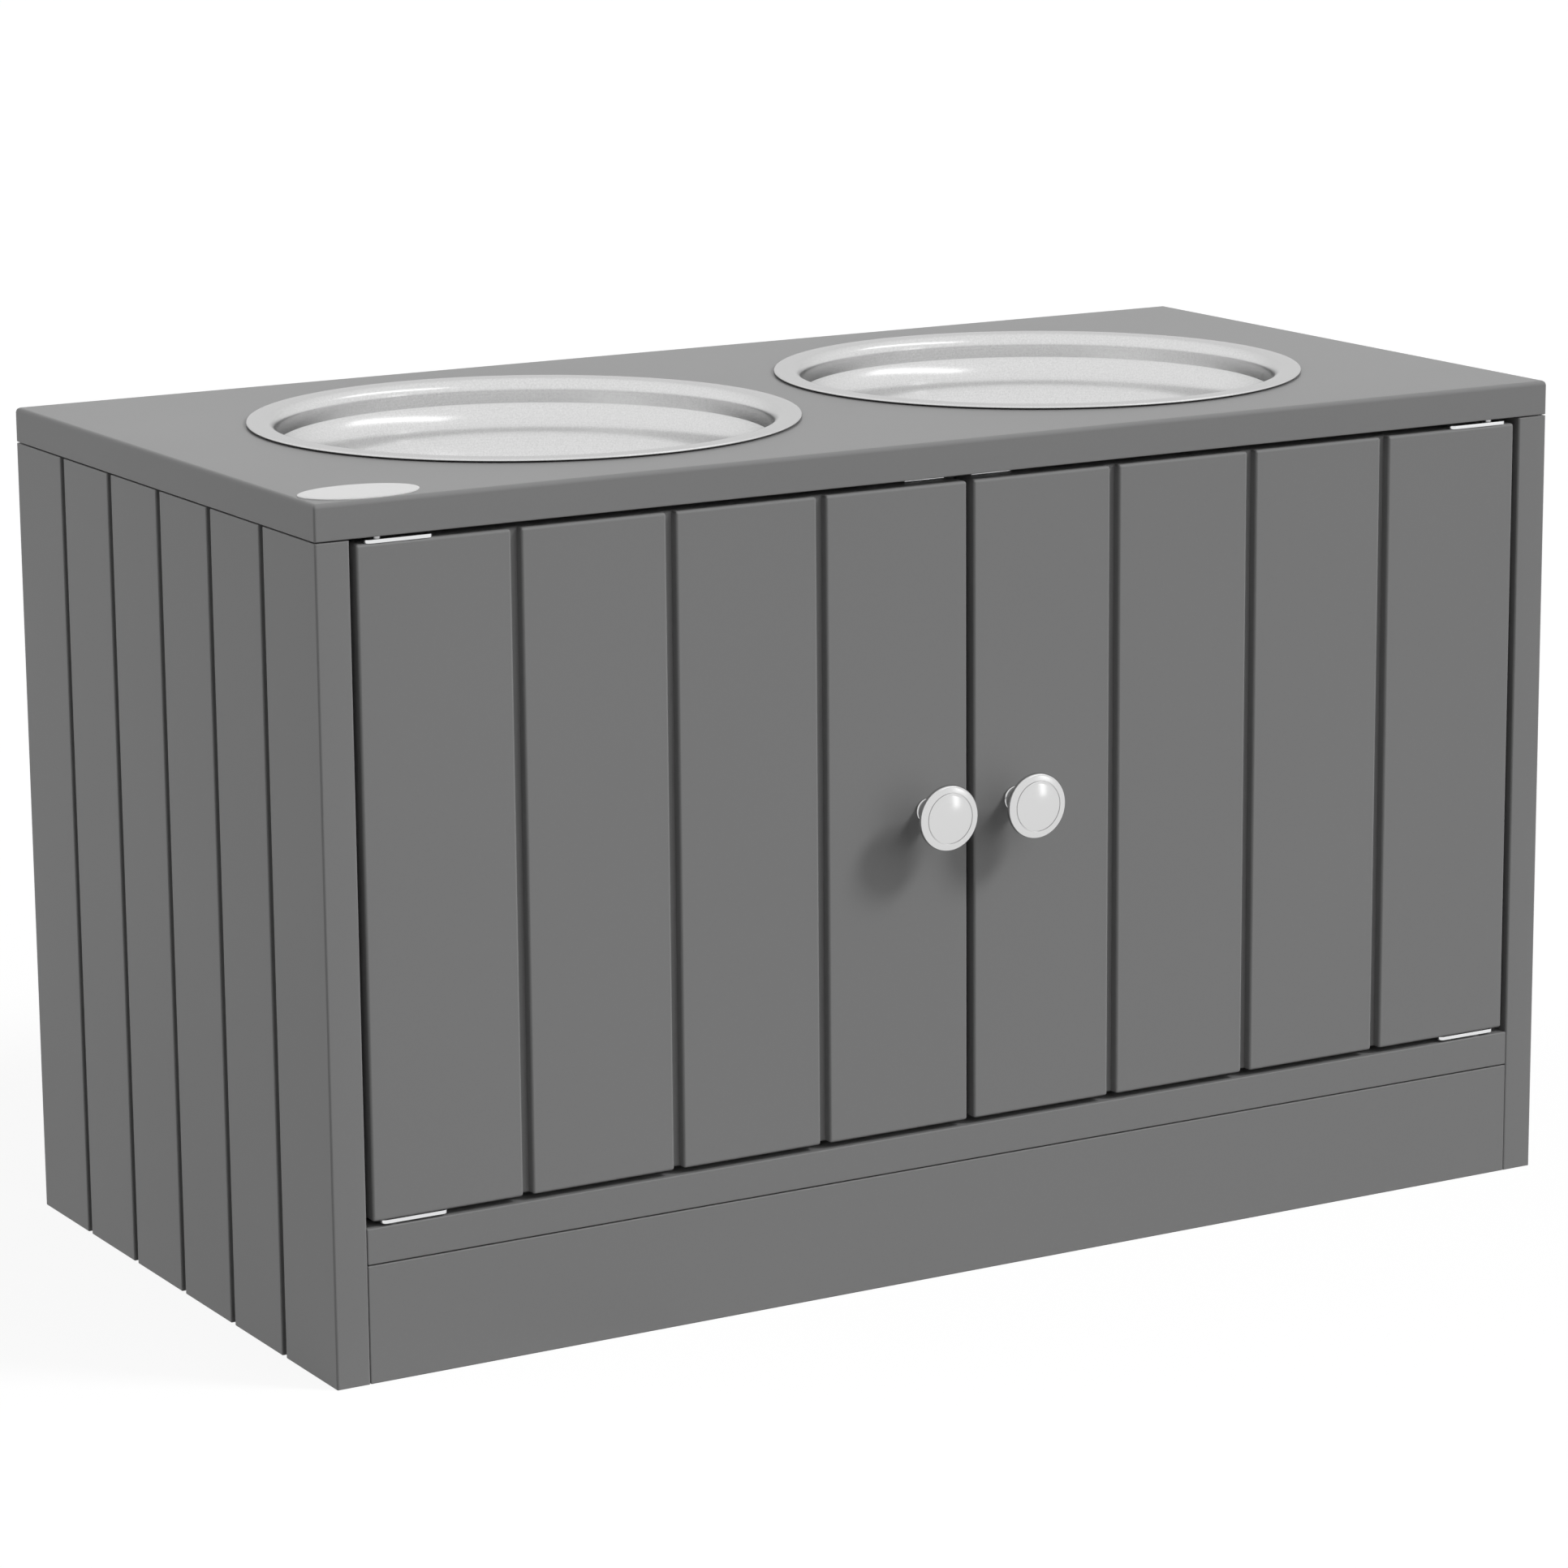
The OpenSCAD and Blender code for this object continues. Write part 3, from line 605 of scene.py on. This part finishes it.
def addPlanks(name, node, along, faceSide, look):
    # a board on its end with grooves down its face; along is the axis that the planks are counted on
    low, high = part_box(node)
    high.z -= look["seam"]
    across = 1 - along
    face = high[across] if faceSide > 0 else low[across]
    floor = face - faceSide * look["grooveDepth"]
    pitch = (high[along] - low[along]) / look["planks"]
    grooves = [low[along] + pitch * i for i in range(1, look["planks"])]
    half = look["grooveWidth"] / 2

    clearSelection()
    bpy.ops.mesh.primitive_plane_add(size=1, location=((low.x + high.x) / 2, (low.y + high.y) / 2, low.z))
    board = bpy.context.active_object
    board.name = name
    board.scale = (high.x - low.x, high.y - low.y, 1)
    applyPlace()
    cuts = [(across, floor)] + [(along, groove + side * half) for groove in grooves for side in bothSides]
    bpy.ops.object.mode_set(mode="EDIT")
    for axis, at in cuts:
        line = Vector((0, 0, 0))
        line[axis] = 1
        bpy.ops.mesh.select_all(action="SELECT")
        bpy.ops.mesh.bisect(plane_co=line * at, plane_no=line)

    def inGroove(cell):
        middle = cell.calc_center_median()
        away = min(abs(middle[along] - groove) for groove in grooves)
        return away < half and (middle[across] - floor) * faceSide > 0

    pick(board, "FACE", inGroove)
    bpy.ops.mesh.delete(type="FACE")
    bpy.ops.mesh.select_all(action="SELECT")
    bpy.ops.mesh.dissolve_limited(angle_limit=math.radians(1))
    bpy.ops.mesh.select_all(action="SELECT")
    bpy.ops.mesh.extrude_region_move(TRANSFORM_OT_translate={"value": (0, 0, high.z - low.z)})
    closeSeams(board)

    def besideGroove(edge):
        middle = middleOf(edge)
        inner = low[along] + mm < middle[along] < high[along] - mm
        return isUpright(edge) and inner

    shares = [
        (look["plankRound"] / look["cornerRound"], besideGroove), (1, isUpright),
        (look["endRound"] / look["cornerRound"], lambda edge: True),
    ]
    roundCorners(board, look["cornerRound"], look["roundSteps"], shares)
    return board


sideLook = {
    "planks": 6, "grooveWidth": 3.6 * mm, "grooveDepth": 3 * mm,
    "plankRound": 0.7 * mm, "cornerRound": 1 * mm, "endRound": 0.4 * mm, "roundSteps": 3,
    "seam": boardLook["seam"],
}


def makeSidePanels():
    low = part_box("right_side_panel")[0]
    camLow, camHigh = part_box("top_cams")
    radius = boardLook["pocketRadius"]
    panel = addPlanks("rightSidePanel", "right_side_panel", 1, 1, sideLook)
    mouth = low.x - past
    end = low.x + boardLook["pocketDepth"]
    height = (camLow.z + camHigh.z) / 2
    pockets = [
        addRod("pocket", Vector((mouth, y, height)), Vector((end, y, height)), radius)
        for y in (camLow.y + radius, camHigh.y - radius)
    ]
    cutWith(panel, pockets)
    other = mirrored(panel, "leftSidePanel")
    for board, node in ((panel, "right_side_panel"), (other, "left_side_panel")):
        shade(board)
        place(board, "cabinet", greyPaint, node)


makeTopBoard()
makeBottomBoard()
makeKickboard()
makeSidePanels()
dress(hardboardPaint, "back_panel")
dress(dowelWood, "top_dowels", "bottom_dowels", "kickboard_dowels")
dress(castZinc, "top_cams", "bottom_cams", "top_cam_bolts", "bottom_cam_bolts")
dress(greyPlastic, "pivot_bushes")
print("boards: made")


# Doors

doorLook = {
    "planks": 4, "grooveWidth": 4.4 * mm, "grooveDepth": 4 * mm,
    "plankRound": 1.2 * mm, "cornerRound": 1.2 * mm, "endRound": 1.2 * mm, "roundSteps": 4,
    "seam": 0,
}


def makeDoors():
    door = addPlanks("rightDoor", "right_door_panel", 0, -1, doorLook)
    other = mirrored(door, "leftDoor")
    for board, side in ((door, "right"), (other, "left")):
        shade(board)
        place(board, side + "_door", greyPaint, side + "_door_panel")


# Screws: drawn once with the head's face at the origin and the shank along -Z

screwLook = {
    "shank": 1.5 * mm, "head": 2.9 * mm, "tip": 1.5 * mm, "steps": 40,
    "headEdge": 0.15 * mm, "headDrop": 0.12 * mm,    # slope at the edge of a sunk head
    "thread": 0.22 * mm, "threadPitch": 1.3 * mm,
    "slotLength": 3.1 * mm, "slotWidth": 0.62 * mm, "slotDepth": 1.1 * mm,
    "sinkInset": 0.3 * mm,                           # how far a countersink's tip is narrower than the shank
    "sunkLength": 16 * mm, "strikeLength": 10 * mm,
    # the round head's outline, in shares of its radius and height
    "crown": ((0.45, 0.97), (0.75, 0.82), (0.93, 0.5), (1, 0.12), (0.97, 0)),
}


def threadProfile(fromDepth, toDepth, radius, look):
    # ridges down the shank, as (radius, height) points
    count = int((toDepth - fromDepth) / look["threadPitch"])
    points = []
    for i in range(count):
        top = -fromDepth - i * look["threadPitch"]
        points.append((radius - look["thread"], top))
        points.append((radius, top - look["threadPitch"] / 2))
    return points


def addCross(look, top):
    # the cross that cuts a recess below top: a square bar with its four sides drawn out
    half = look["slotWidth"] / 2
    foot = top - look["slotDepth"]
    cross = addBlock("cross", Vector((-half, -half, foot)), Vector((half, half, top + past)))
    pick(cross, "FACE", lambda face: abs(face.normal.z) < 0.1)
    arm = look["slotLength"] / 2 - half
    bpy.ops.mesh.extrude_faces_move(TRANSFORM_OT_shrink_fatten={"value": arm})
    closeSeams(cross)
    return cross


def makeSunkScrew(name, length, look):
    sink = look["head"] - look["shank"]
    crown = [(0, 0), (look["head"] - look["headEdge"], 0), (look["head"], -look["headDrop"])]
    shank = threadProfile(sink, length - look["tip"], look["shank"], look)
    screw = lathe(name, crown + shank + [(0, -length)], Vector((0, 0, 0)), Vector((0, 0, 1)), look["steps"])
    cutWith(screw, [addCross(look, 0)])
    return screw


def makePanScrew(name, headRadius, headHeight, shankRadius, length, look):
    # the shank starts at z = 0 and runs down, the head stands above
    crown = [(0, headHeight)]
    crown += [(headRadius * across, headHeight * up) for across, up in look["crown"]]
    shank = threadProfile(0, length - shankRadius, shankRadius, look)
    screw = lathe(name, crown + shank + [(0, -length)], Vector((0, 0, 0)), Vector((0, 0, 1)), look["steps"])
    cutWith(screw, [addCross(look, headHeight)])
    return screw


def addSink(face, inwards, depth, above, width):
    # the cone cut for a sunk head, from below the head to a little above the face
    inset = screwLook["sinkInset"]
    return addRod(
        "countersink", face + inwards * (depth + inset), face - inwards * above,
        screwLook["shank"] - inset, endRadius=width,
    )


def liftEnd(cone):
    # carries the cone's wide end up past the face that it opens
    top = max(vertex.co.z for vertex in cone.data.vertices)
    pick(cone, "FACE", lambda face: face.calc_center_median().z > top - near)
    bpy.ops.mesh.extrude_region_move(TRANSFORM_OT_translate={"value": (0, 0, past)})
    leaveEdit()


def fitDoors(right, left, node):
    # plates and screws that both doors carry
    place(right, "right_door", zincPlate, "right" + node)
    place(left, "left_door", zincPlate, "left" + node)


# Hinge plates

hingeLook = {
    "cornerRound": 2.5 * mm, "cornerSteps": 6,
    "edgeRound": 0.3 * mm, "edgeSteps": 2,
    "screws": (14.1 * mm, 24.9 * mm),    # from the plate's outer end
    "countersink": 2.98 * mm,
}


def makeHinges():
    low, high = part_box("right_hinge_plates")
    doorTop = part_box("right_door_panel")[1].z
    middle = (low.z + high.z) / 2
    plate = addBlock("plate", Vector((low.x, low.y, doorTop)), high)
    bevelEdges(plate, isUpright, hingeLook["cornerRound"], hingeLook["cornerSteps"])
    bevelEdges(plate, isCorner, hingeLook["edgeRound"], hingeLook["edgeSteps"])
    screwPlaces = [Vector((high.x - along, (low.y + high.y) / 2, high.z)) for along in hingeLook["screws"]]
    width = hingeLook["countersink"]
    cones = [addSink(at, Vector((0, 0, -1)), width - screwLook["shank"], 0, width) for at in screwPlaces]
    for cone in cones:
        liftEnd(cone)
    cutWith(plate, cones)
    shade(plate)
    lower = mirrored(plate, "lowerPlate", 2, middle)
    shade(lower)
    plates = joinPieces("rightHingePlates", [plate, lower])

    pattern = makeSunkScrew("screwPattern", screwLook["sunkLength"], screwLook)
    screws = [copied(pattern, "screw", Matrix.Translation(at)) for at in screwPlaces]
    over = Matrix.Rotation(math.pi, 4, "X")
    turned = [Matrix.Translation((at.x, at.y, 2 * middle - at.z)) @ over for at in screwPlaces]
    screws += [copied(pattern, "screw", where) for where in turned]
    bpy.data.objects.remove(pattern)
    screws = joinPieces("rightHingeScrews", screws)
    shade(screws, "small", False)
    pairs = ((plates, "HingePlates", "_hinge_plates"), (screws, "HingeScrews", "_hinge_screws"))
    for piece, name, node in pairs:
        other = mirrored(piece, "left" + name)
        shade(other)
        fitDoors(piece, other, node)


# Knobs

knobLook = {
    "steps": 128,
    "footRadius": 5.4 * mm, "footHeight": 1.2 * mm, "footEdge": 0.4 * mm,
    "neckRadius": 4.4 * mm,
    "rimHeight": 3.8 * mm, "rimUnderEdge": 0.5 * mm,
    "rimEdge": 1.3 * mm,     # rounding of the head's edge
    "rimDrop": 0.15 * mm,    # from the ring down to the head's edge
    "ringRadius": 10.5 * mm, "ringWidth": 0.38 * mm, "ringDepth": 0.6 * mm, "ringEdge": 0.08 * mm,
    "faceRise": 1.1 * mm,
    "screwRadius": 2 * mm, "screwHead": 4 * mm, "screwHeadHeight": 2.4 * mm, "screwLength": 24 * mm,
}
knobFinish = {
    "tone": (0.67, 0.67, 0.67), "edgeTone": 0.9, "gloss": 0.17,
    "rings": 3200, "grain": 1500, "share": 0.5, "spread": 0.3,
    "shade": 0.2, "depth": 0.004 * mm, "strength": 0.25,
}


def knobProfile(look, radius, out):
    # from the middle of the foot, round the head's edge, to the middle of the face
    steps = [i / 10 for i in range(1, 11)]
    footEdge = look["footEdge"]
    footFlat = look["footRadius"] - footEdge
    footTop = look["footHeight"]
    points = [(0, 0), (footFlat, 0)]
    points += arc((footFlat, footEdge), footEdge, -60, 0, 3)
    points += arc((footFlat, footTop - footEdge), footEdge, 0, 60, 3)

    neck = look["neckRadius"]
    under = out - look["rimHeight"]
    waist = under / 2
    points += [
        (neck + (footFlat - neck) * (1 - step) ** 2, footTop + (waist - footTop) * step)
        for step in steps
    ]
    underEdge = look["rimUnderEdge"]
    flare = radius - underEdge - neck
    turns = [math.pi / 2 * step for step in steps]
    points += [(neck + flare * (1 - math.cos(turn)), waist * (1 + math.sin(turn))) for turn in turns]

    edge = look["rimEdge"]
    ring = look["ringRadius"]
    ringOut = ring + look["ringWidth"]
    ringTop = out - look["faceRise"]
    ringFoot = ringTop - look["ringDepth"]
    ringEdge = look["ringEdge"]
    points += arc((radius - underEdge, under + underEdge), underEdge, -60, 0, 3)
    points += arc((radius - edge, ringTop - look["rimDrop"] - edge), edge, 0, 84, 8)
    points += [
        (ringOut + ringEdge, ringTop), (ringOut, ringTop - ringEdge), (ringOut, ringFoot),
        (ring, ringFoot), (ring, ringTop - ringEdge),
    ]
    # the domed face starts just inside the ring
    return points + [(ring * (1 - step), out - look["faceRise"] * (1 - step) ** 2) for step in [0.01] + steps]


def makeKnobs():
    low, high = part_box("right_knob")
    look = knobLook
    foot = Vector(((low.x + high.x) / 2, high.y, (low.z + high.z) / 2))
    profile = knobProfile(look, (high.x - low.x) / 2, high.y - low.y)
    knob = lathe("rightKnob", profile, foot, Vector((0, -1, 0)), look["steps"])

    pattern = makePanScrew(
        "knobScrewPattern", look["screwHead"], look["screwHeadHeight"],
        look["screwRadius"], look["screwLength"], screwLook,
    )
    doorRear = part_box("right_door_panel")[1].y
    where = Matrix.Translation((foot.x, doorRear, foot.z)) @ Matrix.Rotation(-math.pi / 2, 4, "X")
    screw = copied(pattern, "rightKnobScrew", where)
    bpy.data.objects.remove(pattern)
    for side, sign in sides.items():
        bodyKnob = knob if sign > 0 else mirrored(knob, "leftKnob")
        bodyScrew = screw if sign > 0 else mirrored(screw, "leftKnobScrew")
        shade(bodyKnob, "turned", False)
        shade(bodyScrew, "small", False)
        finish = spun(side + "KnobMetal", knobFinish, (sign * foot.x, 0, foot.z), (math.pi / 2, 0, 0))
        place(bodyKnob, side + "_door", finish, side + "_knob")
        place(bodyScrew, side + "_door", zincPlate, side + "_knob_screw")


# Strike plates and the magnetic catch

strikeLook = {
    "edgeRound": 0.22 * mm, "edgeSteps": 2, "thickness": 1 * mm,
    "screwDrop": 14.9 * mm,                        # from the plate's top to the screw
    "sinkAbove": 0.08 * mm, "sinkMore": 0.1 * mm,  # the countersink ends above the face, wider than the head
}


def makeStrikes():
    low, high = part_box("right_strike_plate")
    rear = high.y - strikeLook["thickness"]
    fold = high.z - strikeLook["thickness"]
    plate = addBlock("rightStrikePlate", Vector((low.x, rear, low.z)), high)
    editAll(plate)
    bpy.ops.mesh.bisect(plane_co=(0, 0, fold), plane_no=(0, 0, 1))
    pick(plate, "FACE", lambda face: face.normal.y < -0.9 and face.calc_center_median().z > fold)
    bpy.ops.mesh.extrude_region_move(TRANSFORM_OT_translate={"value": (0, low.y - rear, 0)})
    closeSeams(plate)
    bevelEdges(plate, isCorner, strikeLook["edgeRound"], strikeLook["edgeSteps"])
    at = Vector(((low.x + high.x) / 2, high.y, high.z - strikeLook["screwDrop"]))
    head = screwLook["head"]
    mouth = head + strikeLook["sinkMore"]
    cone = addSink(at, Vector((0, -1, 0)), head - screwLook["shank"], strikeLook["sinkAbove"], mouth)
    cutWith(plate, [cone])
    pattern = makeSunkScrew("strikeScrewPattern", screwLook["strikeLength"], screwLook)
    where = Matrix.Translation(at) @ Matrix.Rotation(-math.pi / 2, 4, "X")
    screw = copied(pattern, "rightStrikeScrew", where)
    bpy.data.objects.remove(pattern)
    pairs = ((plate, "StrikePlate", "_strike_plate"), (screw, "StrikeScrew", "_strike_screw"))
    for piece, name, node in pairs:
        other = mirrored(piece, "left" + name)
        shade(piece, "small", False)
        shade(other, "small", False)
        fitDoors(piece, other, node)


def makeCatch():
    low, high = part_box("catch_screws")
    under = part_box("catch_housing")[0].z
    radius = screwLook["head"]
    pattern = makePanScrew(
        "catchScrewPattern", radius, under - low.z, screwLook["shank"], high.z - under, screwLook,
    )
    ends = (low.x + radius, high.x - radius)
    over = Matrix.Rotation(math.pi, 4, "X")
    places = [Matrix.Translation((x, (low.y + high.y) / 2, under)) @ over for x in ends]
    screws = joinPieces("catchScrews", [copied(pattern, "screw", where) for where in places])
    bpy.data.objects.remove(pattern)
    shade(screws, "small", False)
    place(screws, "cabinet", zincPlate, "catch_screws")
    dress(greyPlastic, "catch_housing")
    dress(magnetBlack, "catch_magnets")
    dress(zincPlate, "catch_pole_plates")


makeDoors()
makeHinges()
makeKnobs()
makeStrikes()
makeCatch()
dress(pinSteel, "right_hinge_pins", "left_hinge_pins")
print("doors: made")


# Bowls

bowlLook = {
    "steps": 160,
    "sheet": 0.6 * mm,
    "lipRoll": 0.7 * mm,         # the rim's edge, turned down with a dark gap under it
    "lipTurn": -15,
    "lipSteps": 12,
    "rimWidth": 12.2 * mm,
    "neckBend": 5 * mm,
    "bendSteps": 8,
    "neckFoot": 10.6 * mm,       # depths below the rim's upper face
    "depth": 55 * mm,
    "shoulderRound": 16 * mm,
    "shoulderTurn": 50,          # degrees from the shoulder's head to the upright wall
    "shoulderSteps": 14,
    "baseRadius": 66 * mm,
    "wallTurn": 76,              # how far the wall has turned up, in degrees, where it meets the shoulder
    "wallSteps": 22,
}
bowlFinish = {
    "tone": (0.7, 0.7, 0.7), "edgeTone": 0.72, "gloss": 0.22,
    "rings": 1800, "grain": 1300, "share": 0.2, "spread": 0.4,
    "shade": 1.2, "depth": 0.02 * mm, "strength": 0.5,
}


def bowlProfile(look, radius, rim):
    # the inner skin, from the middle of the base out to the rolled edge
    neck = radius - look["rimWidth"]
    bend = look["neckBend"]
    roll = look["lipRoll"]
    shoulderRound = look["shoulderRound"]
    headTurn = math.radians(look["shoulderTurn"])
    middle = (
        neck + shoulderRound * math.cos(headTurn),
        rim - look["neckFoot"] - shoulderRound * math.sin(headTurn),
    )
    shoulder = arc(middle, shoulderRound, 180, 180 - look["shoulderTurn"], look["shoulderSteps"])

    # the wall is a stretch of an ellipse, which leaves the base flat and turns up to the shoulder
    base = rim - look["depth"]
    flat = look["baseRadius"]
    wall, wallTop = shoulder[0]
    steepest = math.radians(look["wallTurn"])
    wide = (wall - flat) / math.sin(steepest)
    high = (wallTop - base) / (1 - math.cos(steepest))
    turns = [steepest * i / look["wallSteps"] for i in range(look["wallSteps"])]
    curve = [(flat + wide * math.sin(turn), base + high * (1 - math.cos(turn))) for turn in turns]

    points = [(0, base), (flat / 2, base)] + curve + shoulder
    points += arc((neck + bend, rim - bend), bend, 180, 90, look["bendSteps"])
    return points + arc((radius - roll, rim - roll), roll, 90, look["lipTurn"], look["lipSteps"])


def makeBowls():
    low, high = bowlLow, bowlHigh
    look = bowlLook
    radius = (high.x - low.x) / 2
    axisFoot = Vector((bowlCentre.x, bowlCentre.y, 0))
    bowl = lathe("rightBowl", bowlProfile(look, radius, high.z), axisFoot, Vector((0, 0, 1)), look["steps"])
    # the skin's normals face up, so that the sheet's thickness goes on below
    base = min(bowl.data.polygons, key=lambda face: (face.center - axisFoot).xy.length)
    if base.normal.z < 0:
        editAll(bowl)
        bpy.ops.mesh.flip_normals()
        leaveEdit()
    wall = bowl.modifiers.new("wall", "SOLIDIFY")
    wall.thickness = look["sheet"]
    wall.offset = -1
    wall.use_even_offset = True
    applyLast(bowl)
    for side, sign in sides.items():
        piece = bowl if sign > 0 else mirrored(bowl, "leftBowl")
        shade(piece, "turned", False)
        finish = spun(side + "BowlSteel", bowlFinish, (sign * bowlCentre.x, bowlCentre.y, 0))
        place(piece, side + "_bowl", finish, side + "_bowl")


makeBowls()
print("bowls: made")


# Badge, left blank

badgeLook = {
    "sides": 96, "edge": 0.3 * mm,
    "crownSteps": 4, "crownInset": 0.35 * mm,    # each step goes twice as far in and half as far up
}


def makeBadge():
    low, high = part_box("badge")
    centre = (low + high) / 2
    half = (high - low) / 2
    edge = badgeLook["edge"]
    # a disc of radius 1, then stretched to the oval
    badge = addRod("ovalBadge", Vector((0, 0, low.z)), Vector((0, 0, low.z + edge)), 1, badgeLook["sides"])
    activate(badge)
    badge.scale = (half.x, half.y, 1)
    badge.location = (centre.x, centre.y, 0)
    applyPlace()
    pick(badge, "FACE", lambda face: face.normal.z > 0.9)
    rise = high.z - low.z - edge
    for i in range(badgeLook["crownSteps"]):
        bpy.ops.mesh.inset(thickness=badgeLook["crownInset"] * 2 ** i, depth=rise / 2 ** (i + 1))
    leaveEdit()
    closeSeams(badge)
    shade(badge, "badge")
    place(badge, "cabinet", badgeWhite, "badge")


makeBadge()
print("badge: made")


# Floor, light and camera

studioLook = {
    "floorSize": 60,
    "floorTone": 0.2,
    "floorRoughness": 0.9,
    "floorGlow": 0.885,         # what the camera sees added to the lit floor
    "zenith": 0.3,              # brightness of the upper sky on matt surfaces
    "horizon": 0.03,
    "lampDistance": 3,
    "key": {"light": 0.36, "angle": 13, "from": (0.59, -0.50, 0.635)},
    "frontFill": {"light": 0.42, "angle": 100, "from": (0.6, -0.78, 0.1)},
    "leftFill": {"light": 0.18, "angle": 60, "from": (-0.8, 0.45, 0.4)},
    "bowlPanel": {"glow": 0.8, "width": 4, "height": 0.8, "at": (2.2, -1.85, 3.2)},
    "knobPanel": {"glow": 0.8, "width": 0.32, "height": 1.1, "at": (1.8, -2.6, 0.4)},
}
lampNames = ("key", "frontFill", "leftFill")
panelNames = ("bowlPanel", "knobPanel")


def makeFloor():
    clearSelection()
    bpy.ops.mesh.primitive_plane_add(size=studioLook["floorSize"], location=(0, 0, 0))
    floor = bpy.context.active_object
    floor.name = "studioFloor"
    material, tree, shader = newMaterial("studioFloorPaint")[:3]
    tone = studioLook["floorTone"]
    shader.inputs["Base Color"].default_value = (tone, tone, tone, 1)
    shader.inputs["Roughness"].default_value = studioLook["floorRoughness"]
    shader.inputs["Specular IOR Level"].default_value = 0
    glow = addNode(tree, "ShaderNodeEmission")
    both = addNode(tree, "ShaderNodeAddShader")
    lit = calculate(tree, "MULTIPLY", seenDirectly(tree), studioLook["floorGlow"])
    tree.links.new(lit, glow.inputs["Strength"])
    tree.links.new(shader.outputs[0], both.inputs[0])
    tree.links.new(glow.outputs[0], both.inputs[1])
    tree.links.new(both.outputs[0], tree.nodes["Material Output"].inputs["Surface"])
    floor.data.materials.append(material)


def seenDirectly(tree):
    # 1 for what the camera sees itself, in a mirror or through glass
    path = addNode(tree, "ShaderNodeLightPath")
    direct = calculate(tree, "MAXIMUM", path.outputs["Is Camera Ray"], path.outputs["Is Glossy Ray"])
    return calculate(tree, "MAXIMUM", direct, path.outputs["Is Transmission Ray"])


def makeWorld():
    world = bpy.data.worlds.new("studioWorld")
    bpy.context.scene.world = world
    world.use_nodes = True
    tree = world.node_tree
    background = tree.nodes["Background"]
    background.inputs["Color"].default_value = (1, 1, 1, 1)
    coordinates = addNode(tree, "ShaderNodeTexCoord")
    axes = addNode(tree, "ShaderNodeSeparateXYZ")
    tree.links.new(coordinates.outputs["Generated"], axes.inputs[0])
    sky = addNode(tree, "ShaderNodeMapRange")
    sky.inputs["From Min"].default_value = 0
    sky.inputs["To Min"].default_value = studioLook["horizon"]
    sky.inputs["To Max"].default_value = studioLook["zenith"]
    tree.links.new(axes.outputs["Z"], sky.inputs["Value"])
    mix = addNode(tree, "ShaderNodeMix", data_type="FLOAT")
    tree.links.new(seenDirectly(tree), mix.inputs["Factor"])
    tree.links.new(sky.outputs["Result"], mix.inputs["A"])
    mix.inputs["B"].default_value = 1
    tree.links.new(mix.outputs["Result"], background.inputs["Strength"])


def addLight(name, data, at):
    # the light stands at a point and faces the middle of the floor
    lamp = bpy.data.objects.new(name, data)
    bpy.context.scene.collection.objects.link(lamp)
    lamp.location = at
    lamp.rotation_euler = Vector(at).to_track_quat("Z", "Y").to_euler()
    return lamp


def addLamp(name):
    # a far soft lamp, which lights all that is matt and stays out of the metal's shine
    look = studioLook[name]
    data = bpy.data.lights.new(name, "SUN")
    data.energy = look["light"] * math.pi
    data.angle = math.radians(look["angle"])
    lamp = addLight(name, data, Vector(look["from"]) * studioLook["lampDistance"])
    lamp.visible_glossy = False


def addPanel(name):
    # a bright panel, which shows only in the metal's shine
    look = studioLook[name]
    data = bpy.data.lights.new(name, "AREA")
    data.shape = "RECTANGLE"
    data.size = look["width"]
    data.size_y = look["height"]
    data.energy = look["glow"] * look["width"] * look["height"] * math.pi
    panel = addLight(name, data, look["at"])
    panel.visible_diffuse = False


cameraLook = {
    "sensor": 36, "lens": 124.96,                     # millimetres, as the camera counts them
    "reach": 200,
    "at": (-1.1874, -2.0273, 0.7123),
    "yaw": 30.163, "pitch": 12.598, "roll": 0.465,    # degrees
}


def makeCamera():
    data = bpy.data.cameras.new("photoCamera")
    data.sensor_width = cameraLook["sensor"]
    data.lens = cameraLook["lens"]
    data.clip_end = cameraLook["reach"]
    camera = bpy.data.objects.new("photoCamera", data)
    bpy.context.scene.collection.objects.link(camera)
    camera.matrix_world = (
        Matrix.Translation(cameraLook["at"])
        @ Matrix.Rotation(math.radians(-cameraLook["yaw"]), 4, "Z")
        @ Matrix.Rotation(math.radians(90 - cameraLook["pitch"]), 4, "X")
        @ Matrix.Rotation(math.radians(-cameraLook["roll"]), 4, "Z")
    )
    bpy.context.scene.camera = camera


makeFloor()
makeWorld()
for lampName in lampNames:
    addLamp(lampName)
for panelName in panelNames:
    addPanel(panelName)
makeCamera()
bpy.context.scene.view_settings.view_transform = "Standard"
print("studio: made")
